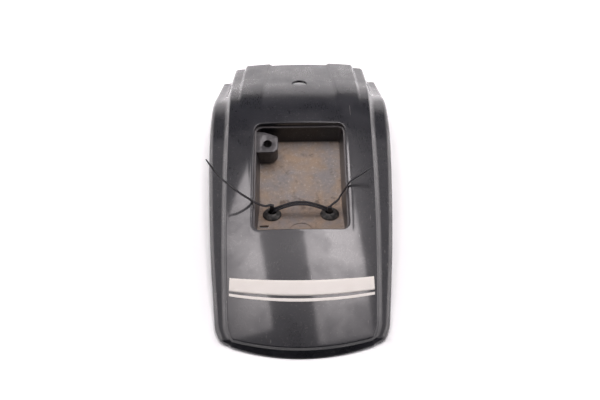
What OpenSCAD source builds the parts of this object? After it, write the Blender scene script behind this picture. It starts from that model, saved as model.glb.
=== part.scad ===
// Motorcycle rear fender: one moulded shell with a recess for the tail lamp,
// two rubber bushes on the recess shelf, and two nylon ties looped through them.
// The shell lies on its skirts. X is across, Y points to the front of the
// motorcycle, Z is up, and Z = 0 is the surface that it lies on.

/* [Side profile] */
// Length of the flat front deck along the centre line
deck_len = 70; // [55:1:90]
// Length of the knee that turns down behind the deck
knee_len = 42; // [34:1:60]
// Length of the back that carries on into the lamp recess
back_len = 60; // [50:1:80]
// Length of the long tail behind the back
tail_len = 262; // [240:1:300]
// Turn of the deck in degrees
deck_turn = 2; // [0.5:0.5:5]
// Turn of the knee in degrees
knee_turn = 16; // [10:1:22]
// Turn of the back in degrees
back_turn = 10; // [6:1:14]
// Turn of the tail in degrees
tail_turn = 11; // [6:1:16]

/* [Shell] */
// Wall of the moulding
wall = 3; // [2.4:0.1:3.4]
// Half width of the raised body at the front, to its upper edge
body_half = 84.5; // [80:0.5:90]
// How much narrower each side of the body is at the front edge
body_front_taper = 3.5; // [0:0.5:6]
// How much narrower each side of the body is at the rear
body_taper = 7.5; // [4:0.5:10]
// Half width over the brims at the widest place
brim_half = 109; // [107:0.5:114]
// How much each brim narrows towards the front
brim_front_taper = 7; // [4:0.5:9]
// How much each brim narrows towards the rear
brim_rear_taper = 17; // [14:0.5:20]
// Radius of the crown across the body
crown_r = 750; // [600:10:1200]
// Height of the body above the brim at the front
front_wall_h = 19.7; // [16:0.1:22]
// Height of the body above the brim at the rear
rear_wall_h = 4.4; // [4:0.1:5.5]

/* [Deck relief] */
// Depth of the channel between the two deck ribs
channel_depth = 2.2; // [1:0.1:3]
// Half width of the channel floor at the front edge
channel_half = 37; // [32:0.5:40]
// Width of the ramp from the channel floor to the rib
channel_ramp = 5; // [4:0.5:8]
// Drop of the step outside each rib
rib_step = 4; // [2:0.5:5]
// Diameter of the fixing hole in the deck
deck_hole_d = 19; // [12:0.5:24]
// Distance from the front edge to the fixing hole
deck_hole_s = 69; // [45:1:75]

/* [Rear lip] */
// Width of the rear lip at the centre
lip_w = 11; // [9:0.2:14]
// Width of the rear lip at the corners
lip_corner_w = 8; // [7:0.2:12]
// Radius of the bowed rear edge of the body
rear_bow_r = 252; // [220:2:400]
// How far the rear corners are rounded off, as a share of their width
corner_cut = 0.28; // [0:0.02:0.3]

/* [Lamp recess] */
// Width of the recess at its mouth
recess_w = 108; // [100:1:112]
// Length of the recess at its mouth
recess_len = 146; // [130:1:150]
// Corner radius at the mouth of the recess
recess_r = 9; // [6:0.5:12]
// Distance from the front edge to the middle of the recess
recess_mid_s = 227; // [220:1:235]
// Depth of the ledge for the lamp's seal, below the middle of the mouth
ledge_depth = 9; // [8:0.5:12]
// Width of the ledge
ledge_w = 2.2; // [1.5:0.1:3.5]
// Depth of the floor below the middle of the mouth
floor_depth = 35.5; // [30:0.5:38]
// How far each wall leans in from the ledge to the floor
recess_draft = 3.6; // [2:0.2:5]
// Length of the sloping shelf at the rear of the recess
shelf_len = 44; // [38:1:50]
// Slope of the shelf against the floor in degrees
shelf_slope = 17; // [12:1:20]
// Width of the drain slot in the rear corner of the shelf
drain_w = 11; // [8:0.5:11]
// Length of the drain slot
drain_len = 4.5; // [4:0.5:6]
// Distance of the drain slot's middle from the side of the mouth
drain_side = 11.5; // [11.5:0.5:14]
// Distance of the drain slot's middle behind the fold of the shelf
drain_v = 31.5; // [29:0.5:34]
// Radius of the shallow arch pressed into the rear of the shelf
arch_r = 14; // [10:0.5:16]
// Distance of the arch's top behind the fold of the shelf
arch_v = 25.3; // [24:0.1:28]
// Depth of the arch
arch_depth = 1.2; // [0.6:0.1:1.4]

/* [Lamp screw boss] */
// Outer diameter of the boss
boss_d = 24; // [22:0.5:26]
// Bore of the boss
boss_bore_d = 10; // [6:0.5:12]
// How far the top of the boss is below the ledge
boss_drop = 0.6; // [0.3:0.1:2]
// How far the plate on top of the boss reaches in front of its axis
plate_front = 17.5; // [14:0.5:18]
// How far the front edge of that plate slants back
plate_slant = 6.5; // [0:0.5:8]
// Distance of the boss's axis from the side of the mouth
boss_side = 15.5; // [14:0.5:18]
// Distance of the boss in front of the middle of the recess
boss_v = 48; // [44:0.5:50]

/* [Lamp bushes] */
// Distance of each bush's axis from the side of the mouth
bush_side = 20.7; // [19:0.1:24]
// Distance of the bushes behind the fold of the shelf
bush_v = 12; // [11:0.5:15]
// Diameter of the upper flange of a bush
bush_flange_d = 21.6; // [18:0.2:23]
// Diameter of the neck of a bush
bush_neck_d = 14; // [12:0.5:15]
// Bore of a bush
bush_bore_d = 8.6; // [8:0.1:9.5]
// Height of the domed head of a bush
bush_dome_h = 5.6; // [4:0.1:6.5]

/* [Ties] */
// Width of a tie's strap
tie_w = 3; // [2.4:0.1:3.4]
// Thickness of a tie's strap
tie_t = 1.1; // [0.9:0.1:1.2]

/* [Hidden] */

// Number of points round each bend of the brim section
EDGE_PTS = 9;

// Bends of the brim section: front and rear values
front_wall_angle = 70;
rear_wall_angle = 50;
front_brim_angle = 2;
rear_brim_angle = 14;
front_roll_angle = 34;
rear_roll_angle = 72;
front_top_r = 5;
rear_top_r = 2.5;
front_foot_r = 5.5;
rear_foot_r = 9;
front_roll_r = 4.5;
rear_roll_r = 7;
lip_wall_h = 3.2;
lip_brim_angle = 34;
lip_roll_angle = 66;
lip_top_r = 1.4;
lip_foot_r = 2;
lip_roll_r = 3;

knee_s = deck_len + knee_len;

// Where the raised body has sunk to the brim, and where the relief has faded out
body_end_s = knee_s + 44;
channel_end_s = knee_s + 26;
step_end_s = knee_s + 20;
brim_widest_s = knee_s + 38;
bow_start_s = knee_s + back_len + tail_len / 2;
channel_spread = 9;
rib_outer_f = 0.85;
step_f = 0.9;
shoulder_f = 0.95;
step_lean = 1.2;

function clamp01(v) = min(1, max(0, v));
function smooth(v) = let (c = clamp01(v)) c * c * (3 - 2 * c);
function mix(a, b, w) = a + (b - a) * w;

// Side profile: four arcs that follow each other without a kink.
// Each row is [length, turn]; the slope is in degrees below level.
arcs = [[deck_len, deck_turn], [knee_len, knee_turn], [back_len, back_turn], [tail_len, tail_turn]];
body_len = deck_len + knee_len + back_len + tail_len;

function arc_step(from, arc, d) =
    let (rate = arc[1] / arc[0], r = 180 / (PI * rate), a = from[2] + rate * d)
    [from[0] - r * (sin(a) - sin(from[2])), from[1] + r * (cos(a) - cos(from[2])), a];
function walk(d, i = 0, at = [0, 0, 0]) =
    (d <= arcs[i][0] || i == len(arcs) - 1)
        ? arc_step(at, arcs[i], d)
        : walk(d - arcs[i][0], i + 1, arc_step(at, arcs[i], arcs[i][0]));

// A point at x across, s along the centre line and n above the profile
function place(x, s, n) =
    let (w = walk(s)) [x, w[0] - n * sin(w[2]), w[1] + n * cos(w[2])];

function body_at(s) =
    body_half - body_front_taper * pow(max(0, 1 - s / knee_s), 2)
        - body_taper * pow(max(0, s - body_end_s) / (body_len - body_end_s), 2);
function brim_at(s) =
    s < brim_widest_s
        ? brim_half - brim_front_taper * pow(1 - s / brim_widest_s, 2)
        : brim_half - brim_rear_taper * pow((s - brim_widest_s) / (body_len - brim_widest_s), 1.5);

// Relief of the deck: the channel and the step outside the ribs fade out rearwards
function channel_fade(s) = 1 - smooth((s - deck_len * 0.9) / (channel_end_s - deck_len * 0.9));
function step_fade(s) = 1 - smooth((s - deck_len * 0.5) / (step_end_s - deck_len * 0.5));
function channel_f(s) = (channel_half + channel_spread * clamp01(s / channel_end_s)) / body_half;
function ramp_f(s) = channel_f(s) + channel_ramp / body_half;

function top_n(x, s) =
    let (f = abs(x) / body_at(s),
         ramp = clamp01((f - channel_f(s)) / (ramp_f(s) - channel_f(s))),
         drop = clamp01((f - rib_outer_f) / (step_f - rib_outer_f)))
    -x * x / (2 * crown_r)
        - channel_depth * channel_fade(s) * (1 - ramp)
        - rib_step * step_fade(s) * drop;

// Section from the edge of the body out to the edge of the brim, as three bends
// joined by straights. It returns [outwards, down] for point k; off is the depth
// below the outer face.
function bend_pts(at, r, a0, a1, n) =
    [for (i = [0 : n - 1]) let (a = mix(a0, a1, i / (n - 1)))
        [at[0] + r * (sin(a) - sin(a0)), at[1] + r * (cos(a0) - cos(a))]];
function brim_section(w, h, a, b, c, ra, rb, rc, off) =
    let (
        ra2 = max(ra - off, 0.35),
        rb2 = rb + off,
        rc2 = max(rc - off, 0.35),
        start = [(ra - off - ra2) * tan(a / 2), off],
        top = bend_pts(start, ra2, 0, a, 3),
        top_full = bend_pts([0, 0], ra, 0, a, 3)[2],
        drop_b = rb * (cos(b) - cos(a)),
        wall_l = max(0.3, (h - top_full[1] - drop_b) / sin(a)),
        foot_full = top_full + wall_l * [cos(a), sin(a)],
        foot = bend_pts(foot_full + off * [-sin(a), cos(a)], -rb2, a, b, 3),
        out_full = bend_pts(foot_full, -rb, a, b, 3)[2],
        roll_w = rc * (sin(c) - sin(b)),
        brim_l = max(0.5, (w - out_full[0] - roll_w) / cos(b)),
        roll_full = out_full + brim_l * [cos(b), sin(b)],
        back = (rc - off - rc2) * tan((c - b) / 2),
        roll = bend_pts(roll_full + off * [-sin(b), cos(b)] + back * [cos(b), sin(b)], rc2, b, c, 3)
    )
    concat(top, foot, roll);

function side_section(s, off) =
    let (g = smooth(s / body_end_s))
    brim_section(
        brim_at(s) - body_at(s), mix(front_wall_h, rear_wall_h, g),
        mix(front_wall_angle, rear_wall_angle, g), mix(front_brim_angle, rear_brim_angle, g),
        mix(front_roll_angle, rear_roll_angle, g), mix(front_top_r, rear_top_r, g),
        mix(front_foot_r, rear_foot_r, g), mix(front_roll_r, rear_roll_r, g), off);
function lip_section(x, off) =
    let (f = clamp01(abs(x) / body_at(body_len)))
    brim_section(mix(lip_w, lip_corner_w, f * f), lip_wall_h, rear_wall_angle, lip_brim_angle,
        lip_roll_angle, lip_top_r, lip_foot_r, lip_roll_r, off);

// Rows run across the fender. Towards the rear they bow to match the rear edge.
function span(a, b, n) = [for (i = [0 : n - 1]) mix(a, b, i / n)];
rows = concat(
    span(0, deck_len, 4), span(deck_len, knee_s, 4), span(knee_s, knee_s + back_len, 4),
    span(knee_s + back_len, body_len, 13), [body_len]);
function bow_s(s, x) =
    s - smooth((s - bow_start_s) / (body_len - bow_start_s)) * x * x / (2 * rear_bow_r);

// Columns of one side, from the centre line to the edge of the body
function columns(s) =
    [0, channel_f(s) / 3, channel_f(s) * 2 / 3, channel_f(s), ramp_f(s),
     mix(ramp_f(s), rib_outer_f, 0.35), mix(ramp_f(s), rib_outer_f, 0.7), rib_outer_f,
     step_f, shoulder_f];
body_cols = 10;
side_cols = body_cols + EDGE_PTS - 1;
last_row = len(rows) - 1;
all_rows = last_row + EDGE_PTS - 1;

// Point of the skin at row j and column i, on the outer face or off below it
function body_x(s, i, off) =
    let (lean = (off > 0 && (i == 7 || i == 8)) ? step_lean * step_fade(s) : 0)
    columns(s)[i] * body_at(s) - lean;
function skin_side(s, i, off) =
    i < body_cols
        ? let (x = body_x(s, i, off), xo = body_x(s, i, 0), sb = bow_s(s, xo))
            place(x, sb, top_n(xo, sb) - off)
        : let (e = side_section(s, off)[i - body_cols], c = body_at(s), sb = bow_s(s, c))
            place(c + e[0], sb, top_n(c, sb) - e[1]);
function bow_tilt(x) = asin(x / rear_bow_r);
function skin_lip(k, i, off) =
    let (s = body_len, x = body_x(s, i, 0), e = lip_section(x, off)[k], t = bow_tilt(x),
         sb = bow_s(s, x))
    place(x + e[0] * sin(t), sb + e[0] * cos(t), top_n(x, sb) - e[1]);
function skin_corner(k, a, off) =
    let (s = body_len, c = body_at(s), m = max(k, a), t = 90 - bow_tilt(c),
         turn = t * (m == 0 ? 0 : (a >= k ? 0.5 * k / a : 1 - 0.5 * a / k)),
         w = turn / t, side = side_section(s, off)[m], lip = lip_section(c, off)[m],
         e = mix(side, lip, smooth(w)), out = e[0] * (1 - corner_cut * sin(180 * w)),
         sb = bow_s(s, c))
    place(c + out * cos(turn), sb + out * sin(turn), top_n(c, sb) - e[1]);
function skin_half(j, i, off) =
    j <= last_row
        ? skin_side(rows[j], i, off)
        : let (k = j - last_row)
            i < body_cols ? skin_lip(k, i, off) : skin_corner(k, i - body_cols, off);

// The skin as a closed wall: outer face, inner face and the edges between them
full_cols = 2 * side_cols + 1;
function skin_point(j, c, off) =
    let (p = skin_half(j, abs(c), off)) c < 0 ? [-p[0], p[1], p[2]] : p;
skin_points = [for (off = [0, wall], j = [0 : all_rows], c = [-side_cols : side_cols])
    skin_point(j, c, off)];
under = (all_rows + 1) * full_cols;
function at(j, c) = j * full_cols + c + side_cols;
function face_pair(a, b, c, d, flip) = flip ? [[a, b, d], [b, c, d]] : [[a, b, c], [a, c, d]];
skin_faces = [
    for (j = [0 : all_rows - 1], c = [-side_cols : side_cols - 1])
        each face_pair(at(j, c), at(j, c + 1), at(j + 1, c + 1), at(j + 1, c), c < 0),
    for (j = [0 : all_rows - 1], c = [-side_cols : side_cols - 1])
        each [for (f = face_pair(at(j, c), at(j, c + 1), at(j + 1, c + 1), at(j + 1, c), c < 0))
            [for (v = [2, 1, 0]) f[v] + under]],
    for (c = [-side_cols : side_cols - 1])
        each face_pair(at(0, c), at(0, c) + under, at(0, c + 1) + under, at(0, c + 1), c < 0),
    for (c = [-side_cols : side_cols - 1])
        each face_pair(at(all_rows, c), at(all_rows, c + 1), at(all_rows, c + 1) + under,
            at(all_rows, c) + under, c < 0),
    for (j = [0 : all_rows - 1])
        each face_pair(at(j, side_cols), at(j, side_cols) + under, at(j + 1, side_cols) + under,
            at(j + 1, side_cols), false),
    for (j = [0 : all_rows - 1])
        each face_pair(at(j, -side_cols), at(j + 1, -side_cols), at(j + 1, -side_cols) + under,
            at(j, -side_cols) + under, true)];

// The pose in which the shell lies on its brims and its rear lip: the pitch is
// found so that the lowest points at the front and at the rear are level.
function pitched_z(p, a) = p[1] * sin(a) + p[2] * cos(a);
function pitched_y(p, a) = p[1] * cos(a) - p[2] * sin(a);
front_pts = [for (c = [0 : side_cols]) skin_half(0, c, wall)];
rear_pts = [for (j = [last_row : all_rows], c = [0 : side_cols]) skin_half(j, c, wall)];
function low(pts, a) = min([for (p = pts) pitched_z(p, a)]);
function solve_pitch(a, n) =
    n == 0 ? a : solve_pitch(a + atan((low(rear_pts, a) - low(front_pts, a)) / body_len), n - 1);
pitch = solve_pitch(-20, 8);
base_z = -low(front_pts, pitch);
all_y = [for (p = skin_points) pitched_y(p, pitch)];
base_y = -(max(all_y) + min(all_y)) / 2;
module lay() {
    translate([0, base_y, base_z]) rotate([pitch, 0, 0]) children();
}

module skin() {
    polyhedron(points = skin_points, faces = skin_faces, convexity = 6);
}

// Frame of the recess: its origin is on the skin at the middle of the mouth,
// its Y runs forwards along the skin and its Z stands off it.
recess_at = walk(recess_mid_s);
module in_recess() {
    translate([0, recess_at[0], recess_at[1]]) rotate([recess_at[2], 0, 0]) children();
}
module rounded_plate(w, l, r, h) {
    linear_extrude(height = h) {
        square([w - 2 * r, l], center = true);
        square([w, l - 2 * r], center = true);
        for (x = [-1, 1], y = [-1, 1])
            translate([x * (w / 2 - r), y * (l / 2 - r)]) circle(r = r, $fn = 48);
    }
}

// A rounded outline as points: 6 on each corner, the same number at any offset
CORNER_PTS = 6;
function outline(w, l, r, off) =
    [for (q = [0 : 3], k = [0 : CORNER_PTS - 1])
        let (a = 90 * (q + k / (CORNER_PTS - 1)), ra = r + off,
             sx = (q == 0 || q == 3) ? 1 : -1, sy = q < 2 ? 1 : -1)
        [sx * (w / 2 - r) + ra * cos(a), sy * (l / 2 - r) + ra * sin(a)]];

// A closed tapered block between two outlines of the same number of points.
// Both are listed counterclockwise, and top and bottom are 3D rings.
module block(bottom, top) {
    n = len(bottom);
    polyhedron(
        points = concat(bottom, top),
        faces = concat(
            [[for (i = [0 : n - 1]) i]], [[for (i = [n - 1 : -1 : 0]) n + i]],
            [for (i = [0 : n - 1]) [i, n + i, n + (i + 1) % n]],
            [for (i = [0 : n - 1]) [i, n + (i + 1) % n, (i + 1) % n]]),
        convexity = 4);
}
function flat_ring(pts, z) = [for (p = pts) [p[0], p[1], z]];

// Collar: the wall that joins the skin round the mouth to the ledge below it.
// Its upper edge follows the skin, half way through the skin's wall.
function to_recess(p) =
    let (y = p[1] - recess_at[0], z = p[2] - recess_at[1], a = recess_at[2])
    [p[0], y * cos(a) + z * sin(a), z * cos(a) - y * sin(a)];
function collar_top(p) =
    let (s = recess_mid_s - p[1]) to_recess(place(p[0], s, top_n(p[0], s) - wall / 2));
function side_of(w, l, r, off) =
    let (o = outline(w, l, r, off), n = len(o))
    [for (i = [0 : n - 1]) each
        (i % CORNER_PTS == CORNER_PTS - 1
            ? [for (k = [0 : 5]) mix(o[i], o[(i + 1) % n], k / 6)] : [o[i]])];
module collar() {
    difference() {
        block(
            flat_ring(side_of(recess_w, recess_len, recess_r, wall), -ledge_depth - wall),
            [for (p = side_of(recess_w, recess_len, recess_r, wall)) collar_top(p)]);
        translate([0, 0, -ledge_depth])
            rounded_plate(recess_w, recess_len, recess_r, 2 * ledge_depth);
    }
}

// Room inside the recess below the ledge, grown by off for the outer wall
ledge_inner_w = recess_w - 2 * ledge_w;
ledge_inner_len = recess_len - 2 * ledge_w;
ledge_inner_r = recess_r - ledge_w;
shelf_fold_y = -ledge_inner_len / 2 + recess_draft * 0.7 + shelf_len * cos(shelf_slope);
module tub(off, lid) {
    difference() {
        block(
            flat_ring(outline(ledge_inner_w - 2 * recess_draft, ledge_inner_len - 2 * recess_draft,
                ledge_inner_r, off), -floor_depth - off),
            flat_ring(outline(ledge_inner_w, ledge_inner_len, ledge_inner_r, off),
                -ledge_depth + lid));
        translate([0, shelf_fold_y, -floor_depth]) rotate([-shelf_slope, 0, 0])
            translate([-recess_w, -2 * shelf_len, -off - shelf_len])
                cube([2 * recess_w, 2 * shelf_len, shelf_len]);
    }
}

// Frame of the shelf: origin at its fold, Y forwards, Z square off the shelf
module on_shelf() {
    translate([0, shelf_fold_y, -floor_depth]) rotate([-shelf_slope, 0, 0]) children();
}
bush_x = recess_w / 2 - bush_side;
drain_x = recess_w / 2 - drain_side;
module at_bush(side) { on_shelf() translate([side * bush_x, -bush_v, 0]) children(); }

// Screw boss: a post that runs into the side wall, hollow below its top.
// The plate on top of it has cut corners and a slanted front edge.
boss_x = recess_w / 2 - boss_side;
boss_top = ledge_depth + boss_drop;
boss_wall_x = ledge_inner_w / 2 + wall / 4;
plate_out = 0.5;
plate_corner = 5;
module boss() {
    r = boss_d / 2 + plate_out;
    translate([-boss_x, boss_v, -floor_depth - wall / 2])
        cylinder(d = boss_d, h = floor_depth + wall / 2 - boss_top, $fn = 64);
    translate([-boss_wall_x, boss_v - boss_d / 2, -floor_depth - wall / 2])
        cube([boss_wall_x - boss_x, boss_d, floor_depth + wall / 2 - boss_top]);
    translate([-boss_x, boss_v, -boss_top - wall]) linear_extrude(height = wall)
        polygon([
            [boss_x - boss_wall_x, -r], [r - plate_corner, -r], [r, plate_corner - r],
            [r, plate_front - plate_slant - plate_corner], [r - 1, plate_front - plate_slant],
            [-plate_corner, plate_front], [boss_x - boss_wall_x, plate_front]]);
}
module boss_core() {
    translate([-boss_x, boss_v, -floor_depth - 2 * wall])
        cylinder(d = boss_d - 2 * wall, h = floor_depth + wall - boss_top, $fn = 64);
    translate([-boss_x, boss_v, -floor_depth])
        cylinder(d = boss_bore_d, h = floor_depth, $fn = 48);
}

// Arch pressed into the shelf, from its round top back to the foot of the rear wall
module arch() {
    intersection() {
        union() {
            translate([0, -arch_v - arch_r, 0]) cylinder(r = arch_r, h = wall, $fn = 64);
            translate([-arch_r, -shelf_len, 0]) cube([2 * arch_r, shelf_len - arch_v - arch_r, wall]);
        }
        translate([-arch_r, -shelf_len, 0]) cube([2 * arch_r, shelf_len, wall]);
    }
}

module recess() {
    in_recess() {
        difference() {
            union() {
                difference() {
                    union() {
                        collar();
                        tub(wall, -wall / 2);
                        translate([0, 0, -ledge_depth - wall])
                            rounded_plate(recess_w + wall, recess_len + wall, recess_r + wall / 2, wall);
                    }
                    tub(0, wall);
                }
                boss();
            }
            boss_core();
            for (side = [-1, 1])
                at_bush(side) cylinder(d = bush_neck_d, h = 6 * wall, center = true, $fn = 64);
            on_shelf() translate([-drain_x - drain_w / 2, -drain_v - drain_len / 2, -2 * wall])
                cube([drain_w, drain_len, 4 * wall]);
            on_shelf() translate([0, 0, -arch_depth]) arch();
        }
    }
}

module fender() {
    color("#1d1d20") lay() {
        difference() {
            skin();
            in_recess() translate([0, 0, -ledge_depth])
                rounded_plate(recess_w, recess_len, recess_r, 3 * ledge_depth);
            let (w = walk(deck_hole_s))
                translate([0, w[0], w[1]]) rotate([w[2], 0, 0])
                    cylinder(d = deck_hole_d, h = 6 * wall, center = true, $fn = 64);
        }
        recess();
    }
}

// Rubber bush: a domed head above the shelf, a neck through it and a flange below
bush_gap = 0.15;
bush_foot_h = 2.6;
module bush(side) {
    bore = bush_bore_d / 2;
    head = bush_flange_d / 2;
    neck = bush_neck_d / 2 - bush_gap;
    foot = neck + 2;
    color("#2b2b2a") lay() in_recess() at_bush(side)
        rotate_extrude($fn = 72) polygon([
            [bore, bush_dome_h - 0.4], [bore + 0.4, bush_dome_h], [bore + 1.6, bush_dome_h],
            [head - 3.2, bush_dome_h - 1.0], [head - 0.6, 2.0], [head, 1.4], [head, bush_gap + 0.5],
            [head - 0.5, bush_gap], [neck, bush_gap], [neck, -wall - bush_gap],
            [foot, -wall - bush_gap], [foot, -wall - bush_gap - 1.2],
            [neck - 0.6, -wall - bush_gap - bush_foot_h], [bore, -wall - bush_gap - bush_foot_h]]);
}
module bush_left() { bush(-1); }
module bush_right() { bush(1); }

// Ties. Both are loops side by side: down one bush, under the shelf, up the other
// and through the head, with the tail standing off. Points are in the shelf's frame,
// and those of a tail are counted across from its bush.
tie_side = 2;
head_h = 8;
head_w = 5.2;
head_d = 4.5;
head_gap = 0.2;
head_z = bush_dome_h + head_gap;
loop_low = -wall - bush_gap - bush_foot_h - 2.8;
loop_rise = 18.2;
loop_bend = 3;

// Loop of the right-hand tie as [across, height], from its head and back to it
loop_pts = let (x = bush_x, l = loop_low, b = loop_bend, z = head_z)
    [[x - 2, z + 2.8], [x - 5.8, z + 4], [x * 0.57, z + 7.8], [x * 0.29, loop_rise - 1.2],
     [0, loop_rise], [-x * 0.29, loop_rise - 1.2], [-x * 0.57, z + 7.8], [-x + 5.3, z + 3.7],
     [-x + 1.1, z + 0.4], [-x, z - 2.8], [-x, 0], [-x, l + b], [-x + 0.9, l + 1],
     [-x + b, l + 0.2], [-x / 2, l], [0, l], [x / 2, l], [x - b, l + 0.2], [x - 0.9, l + 1],
     [x, l + b], [x, 0], [x, z]];
tail_right = [[9.3, -8.2, 18.7], [12.1, -6.2, 23.3], [17.6, -3.6, 31.8], [23.2, -0.8, 39.8],
    [28.8, 1.1, 44], [33.7, 2.5, 46.2], [40.9, 3.7, 51.8], [48.5, 4.2, 57.2]];
tail_left = [[-7.1, -15.4, 17.2], [-14.7, -19.3, 24], [-21.2, -21.6, 30.9], [-27.5, -23.2, 37.9],
    [-33.8, -25, 45.2], [-45.1, -26, 58.4], [-56.4, -25.3, 71.2], [-62.4, -23.6, 81.2],
    [-68.1, -23.4, 92.7]];

// Smooth curve through the points, with n steps between neighbours
function curve(p, n) = [
    for (i = [0 : len(p) - 2], k = [0 : n - 1])
        let (t = k / n, a = p[max(0, i - 1)], b = p[i], c = p[i + 1], d = p[min(len(p) - 1, i + 2)])
        (2 * b + (c - a) * t + (2 * a - 5 * b + 4 * c - d) * t * t
            + (3 * b - 3 * c + d - a) * t * t * t) / 2,
    p[len(p) - 1]];
function unit(v) = v / norm(v);

// Strap: a rectangle swept along the curve with its width held near the Y axis
module strap(path) {
    last = len(path) - 1;
    rings = [for (i = [0 : last])
        let (t = unit(path[min(last, i + 1)] - path[max(0, i - 1)]),
             w = unit([0, 1, 0] - t * t[1]), n = cross(t, w),
             k = i == last ? 0.5 : 1, a = w * tie_w / 2 * k, b = n * tie_t / 2 * k)
        each [path[i] - a - b, path[i] + a - b, path[i] + a + b, path[i] - a + b]];
    polyhedron(
        points = rings,
        faces = concat(
            [[0, 1, 2], [0, 2, 3]],
            [for (i = [0 : last - 1], k = [0 : 3])
                let (m = 4 * i + k, o = 4 * i + (k + 1) % 4) each [[m, m + 4, o + 4], [m, o + 4, o]]],
            [[4 * last + 2, 4 * last + 1, 4 * last], [4 * last + 3, 4 * last + 2, 4 * last]]),
        convexity = 8);
}
module tie(side, y, tail) {
    loop = [for (p = loop_pts) [side * p[0], y, p[1]]];
    exit = [side * bush_x, y, head_z + head_h];
    free = [for (p = tail) p + [side * bush_x, 0, 0]];
    color("#3a3a3c") lay() in_recess() on_shelf() union() {
        strap(curve(concat(loop, [exit], free), 2));
        translate([side * bush_x - head_w / 2, y - head_d / 2, head_z])
            cube([head_w, head_d, head_h]);
    }
}
module tie_left() { tie(-1, tie_side - bush_v, tail_left); }
module tie_right() { tie(1, -tie_side - bush_v, tail_right); }

fender();
bush_left();
bush_right();
tie_left();
tie_right();
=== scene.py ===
# %% [markdown]
# The part is the rear fender of an off-road motorcycle: one thin moulded shell,
# two rubber bushes in its lamp recess and two nylon ties looped through them.
# The solids come in first, because every piece made here stands for one of them.

# %% Load the solids
import math

import bpy
import bmesh
from mathutils import Matrix, Vector


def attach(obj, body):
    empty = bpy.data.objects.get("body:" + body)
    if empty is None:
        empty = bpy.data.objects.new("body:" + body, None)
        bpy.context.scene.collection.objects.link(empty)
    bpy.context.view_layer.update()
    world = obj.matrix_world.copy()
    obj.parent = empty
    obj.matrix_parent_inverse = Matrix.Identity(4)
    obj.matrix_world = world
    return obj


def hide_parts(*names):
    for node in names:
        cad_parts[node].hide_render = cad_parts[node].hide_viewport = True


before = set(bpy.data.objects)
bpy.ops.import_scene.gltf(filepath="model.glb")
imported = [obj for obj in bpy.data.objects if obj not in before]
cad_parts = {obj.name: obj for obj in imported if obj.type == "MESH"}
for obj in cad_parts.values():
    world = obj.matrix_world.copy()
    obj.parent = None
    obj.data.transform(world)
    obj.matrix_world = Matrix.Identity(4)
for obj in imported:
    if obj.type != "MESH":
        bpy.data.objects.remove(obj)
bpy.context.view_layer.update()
scene = bpy.context.scene
print("nodes:", sorted(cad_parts))

# %% [markdown]
# The camera comes next, so that every later step can be judged through it. It looks
# down on the shell from behind, as someone does who stands at the end of a table,
# and it leans a little, because the shell lies slightly turned in the picture.

# %% Camera
VIEW_ELEVATION = math.radians(50.32)
LOOK_AT = Vector((-0.0008, -0.0278, 0.0339))
DISTANCE = 0.95
ROLL = math.radians(-0.72)
SENSOR_W, LENS = 36, 49.44

camera = bpy.data.objects.new("camera", bpy.data.cameras.new("camera"))
scene.collection.objects.link(camera)
scene.camera = camera
towards_camera = Vector((0, -math.cos(VIEW_ELEVATION), math.sin(VIEW_ELEVATION)))
camera.location = LOOK_AT + towards_camera * DISTANCE
camera.rotation_mode = "QUATERNION"
camera.rotation_quaternion = (
    (-towards_camera).to_track_quat("-Z", "Y")
    @ Matrix.Rotation(ROLL, 4, "Z").to_quaternion()
)
camera.data.sensor_width = SENSOR_W
camera.data.lens = LENS
print("camera at", [round(v, 3) for v in camera.location])

# %% [markdown]
# The shell is drawn from its side profile: four arcs that follow each other along
# the centre line. A point is named by how far it is across, how far along that line
# from the front edge, and how far it stands off it. The numbers repeat the solid's.

# %% Side profile of the shell
MM = 0.001
# Length in mm and turn in degrees of each arc, from the front edge.
ARCS = [(70, 2), (42, 16), (60, 10), (262, 11)]
BODY_LEN = sum(length for length, turn in ARCS)
KNEE_END = ARCS[0][0] + ARCS[1][0]
PITCH = math.radians(-22.3275)
LAY_Y, LAY_Z = 215.495, 29.1182


def walk(s):
    """Place and slope on the centre line, s mm behind the front edge."""
    y, z, slope = 0.0, 0.0, 0.0
    for number, (length, turn) in enumerate(ARCS):
        step = s if number == len(ARCS) - 1 else min(s, length)
        rate = math.radians(turn) / length
        end = slope + rate * step
        y -= (math.sin(end) - math.sin(slope)) / rate
        z += (math.cos(end) - math.cos(slope)) / rate
        slope = end
        s -= step
        if s <= 0 and number < len(ARCS) - 1:
            break
    return y, z, slope


def lay(x, y, z):
    """From the profile's frame in mm to the lying shell in metres."""
    c, s = math.cos(PITCH), math.sin(PITCH)
    return Vector((x, y * c - z * s + LAY_Y, y * s + z * c + LAY_Z)) * MM


def on_profile(x, s, n):
    y, z, slope = walk(s)
    return lay(x, y - n * math.sin(slope), z + n * math.cos(slope))


print("shell length", round((on_profile(0, 0, 0) - on_profile(0, BODY_LEN, 0)).length, 4), "m")

# %% [markdown]
# Across the shell, the body is a low crown with a channel down the middle of the
# deck, a rib on each side of it and a step outside each rib. All three fade out
# behind the knee. Moulded edges are round, so the steps here are smooth curves. The
# sides also draw in a little where they turn into the rear edge.

# %% Crown, channel and ribs of the body
CROWN_R = 750
CHANNEL_DEPTH = 2.2
RIB_STEP = 4.0
RIB_OUTER, STEP_END = 0.85, 0.905
CHANNEL_END = KNEE_END + 26
STEP_FADE_END = KNEE_END + 20
BODY_HALF = 84.5
BODY_END = KNEE_END + 44
BOW_START = BODY_LEN - ARCS[3][0] / 2
CORNER_PULL, CORNER_LEN = 4.5, 16
FRONT_DRAW, REAR_DRAW = 3.5, 7.5
CHANNEL_HALF, CHANNEL_SPREAD, RAMP_W = 37, 9, 5
CHANNEL_FADE, STEP_FADE = 63, 35
BOW_R = 252


def smooth(v):
    """An even slope from 0 to 1 with soft ends."""
    v = min(1.0, max(0.0, v))
    return v * v * (3 - 2 * v)


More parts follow.
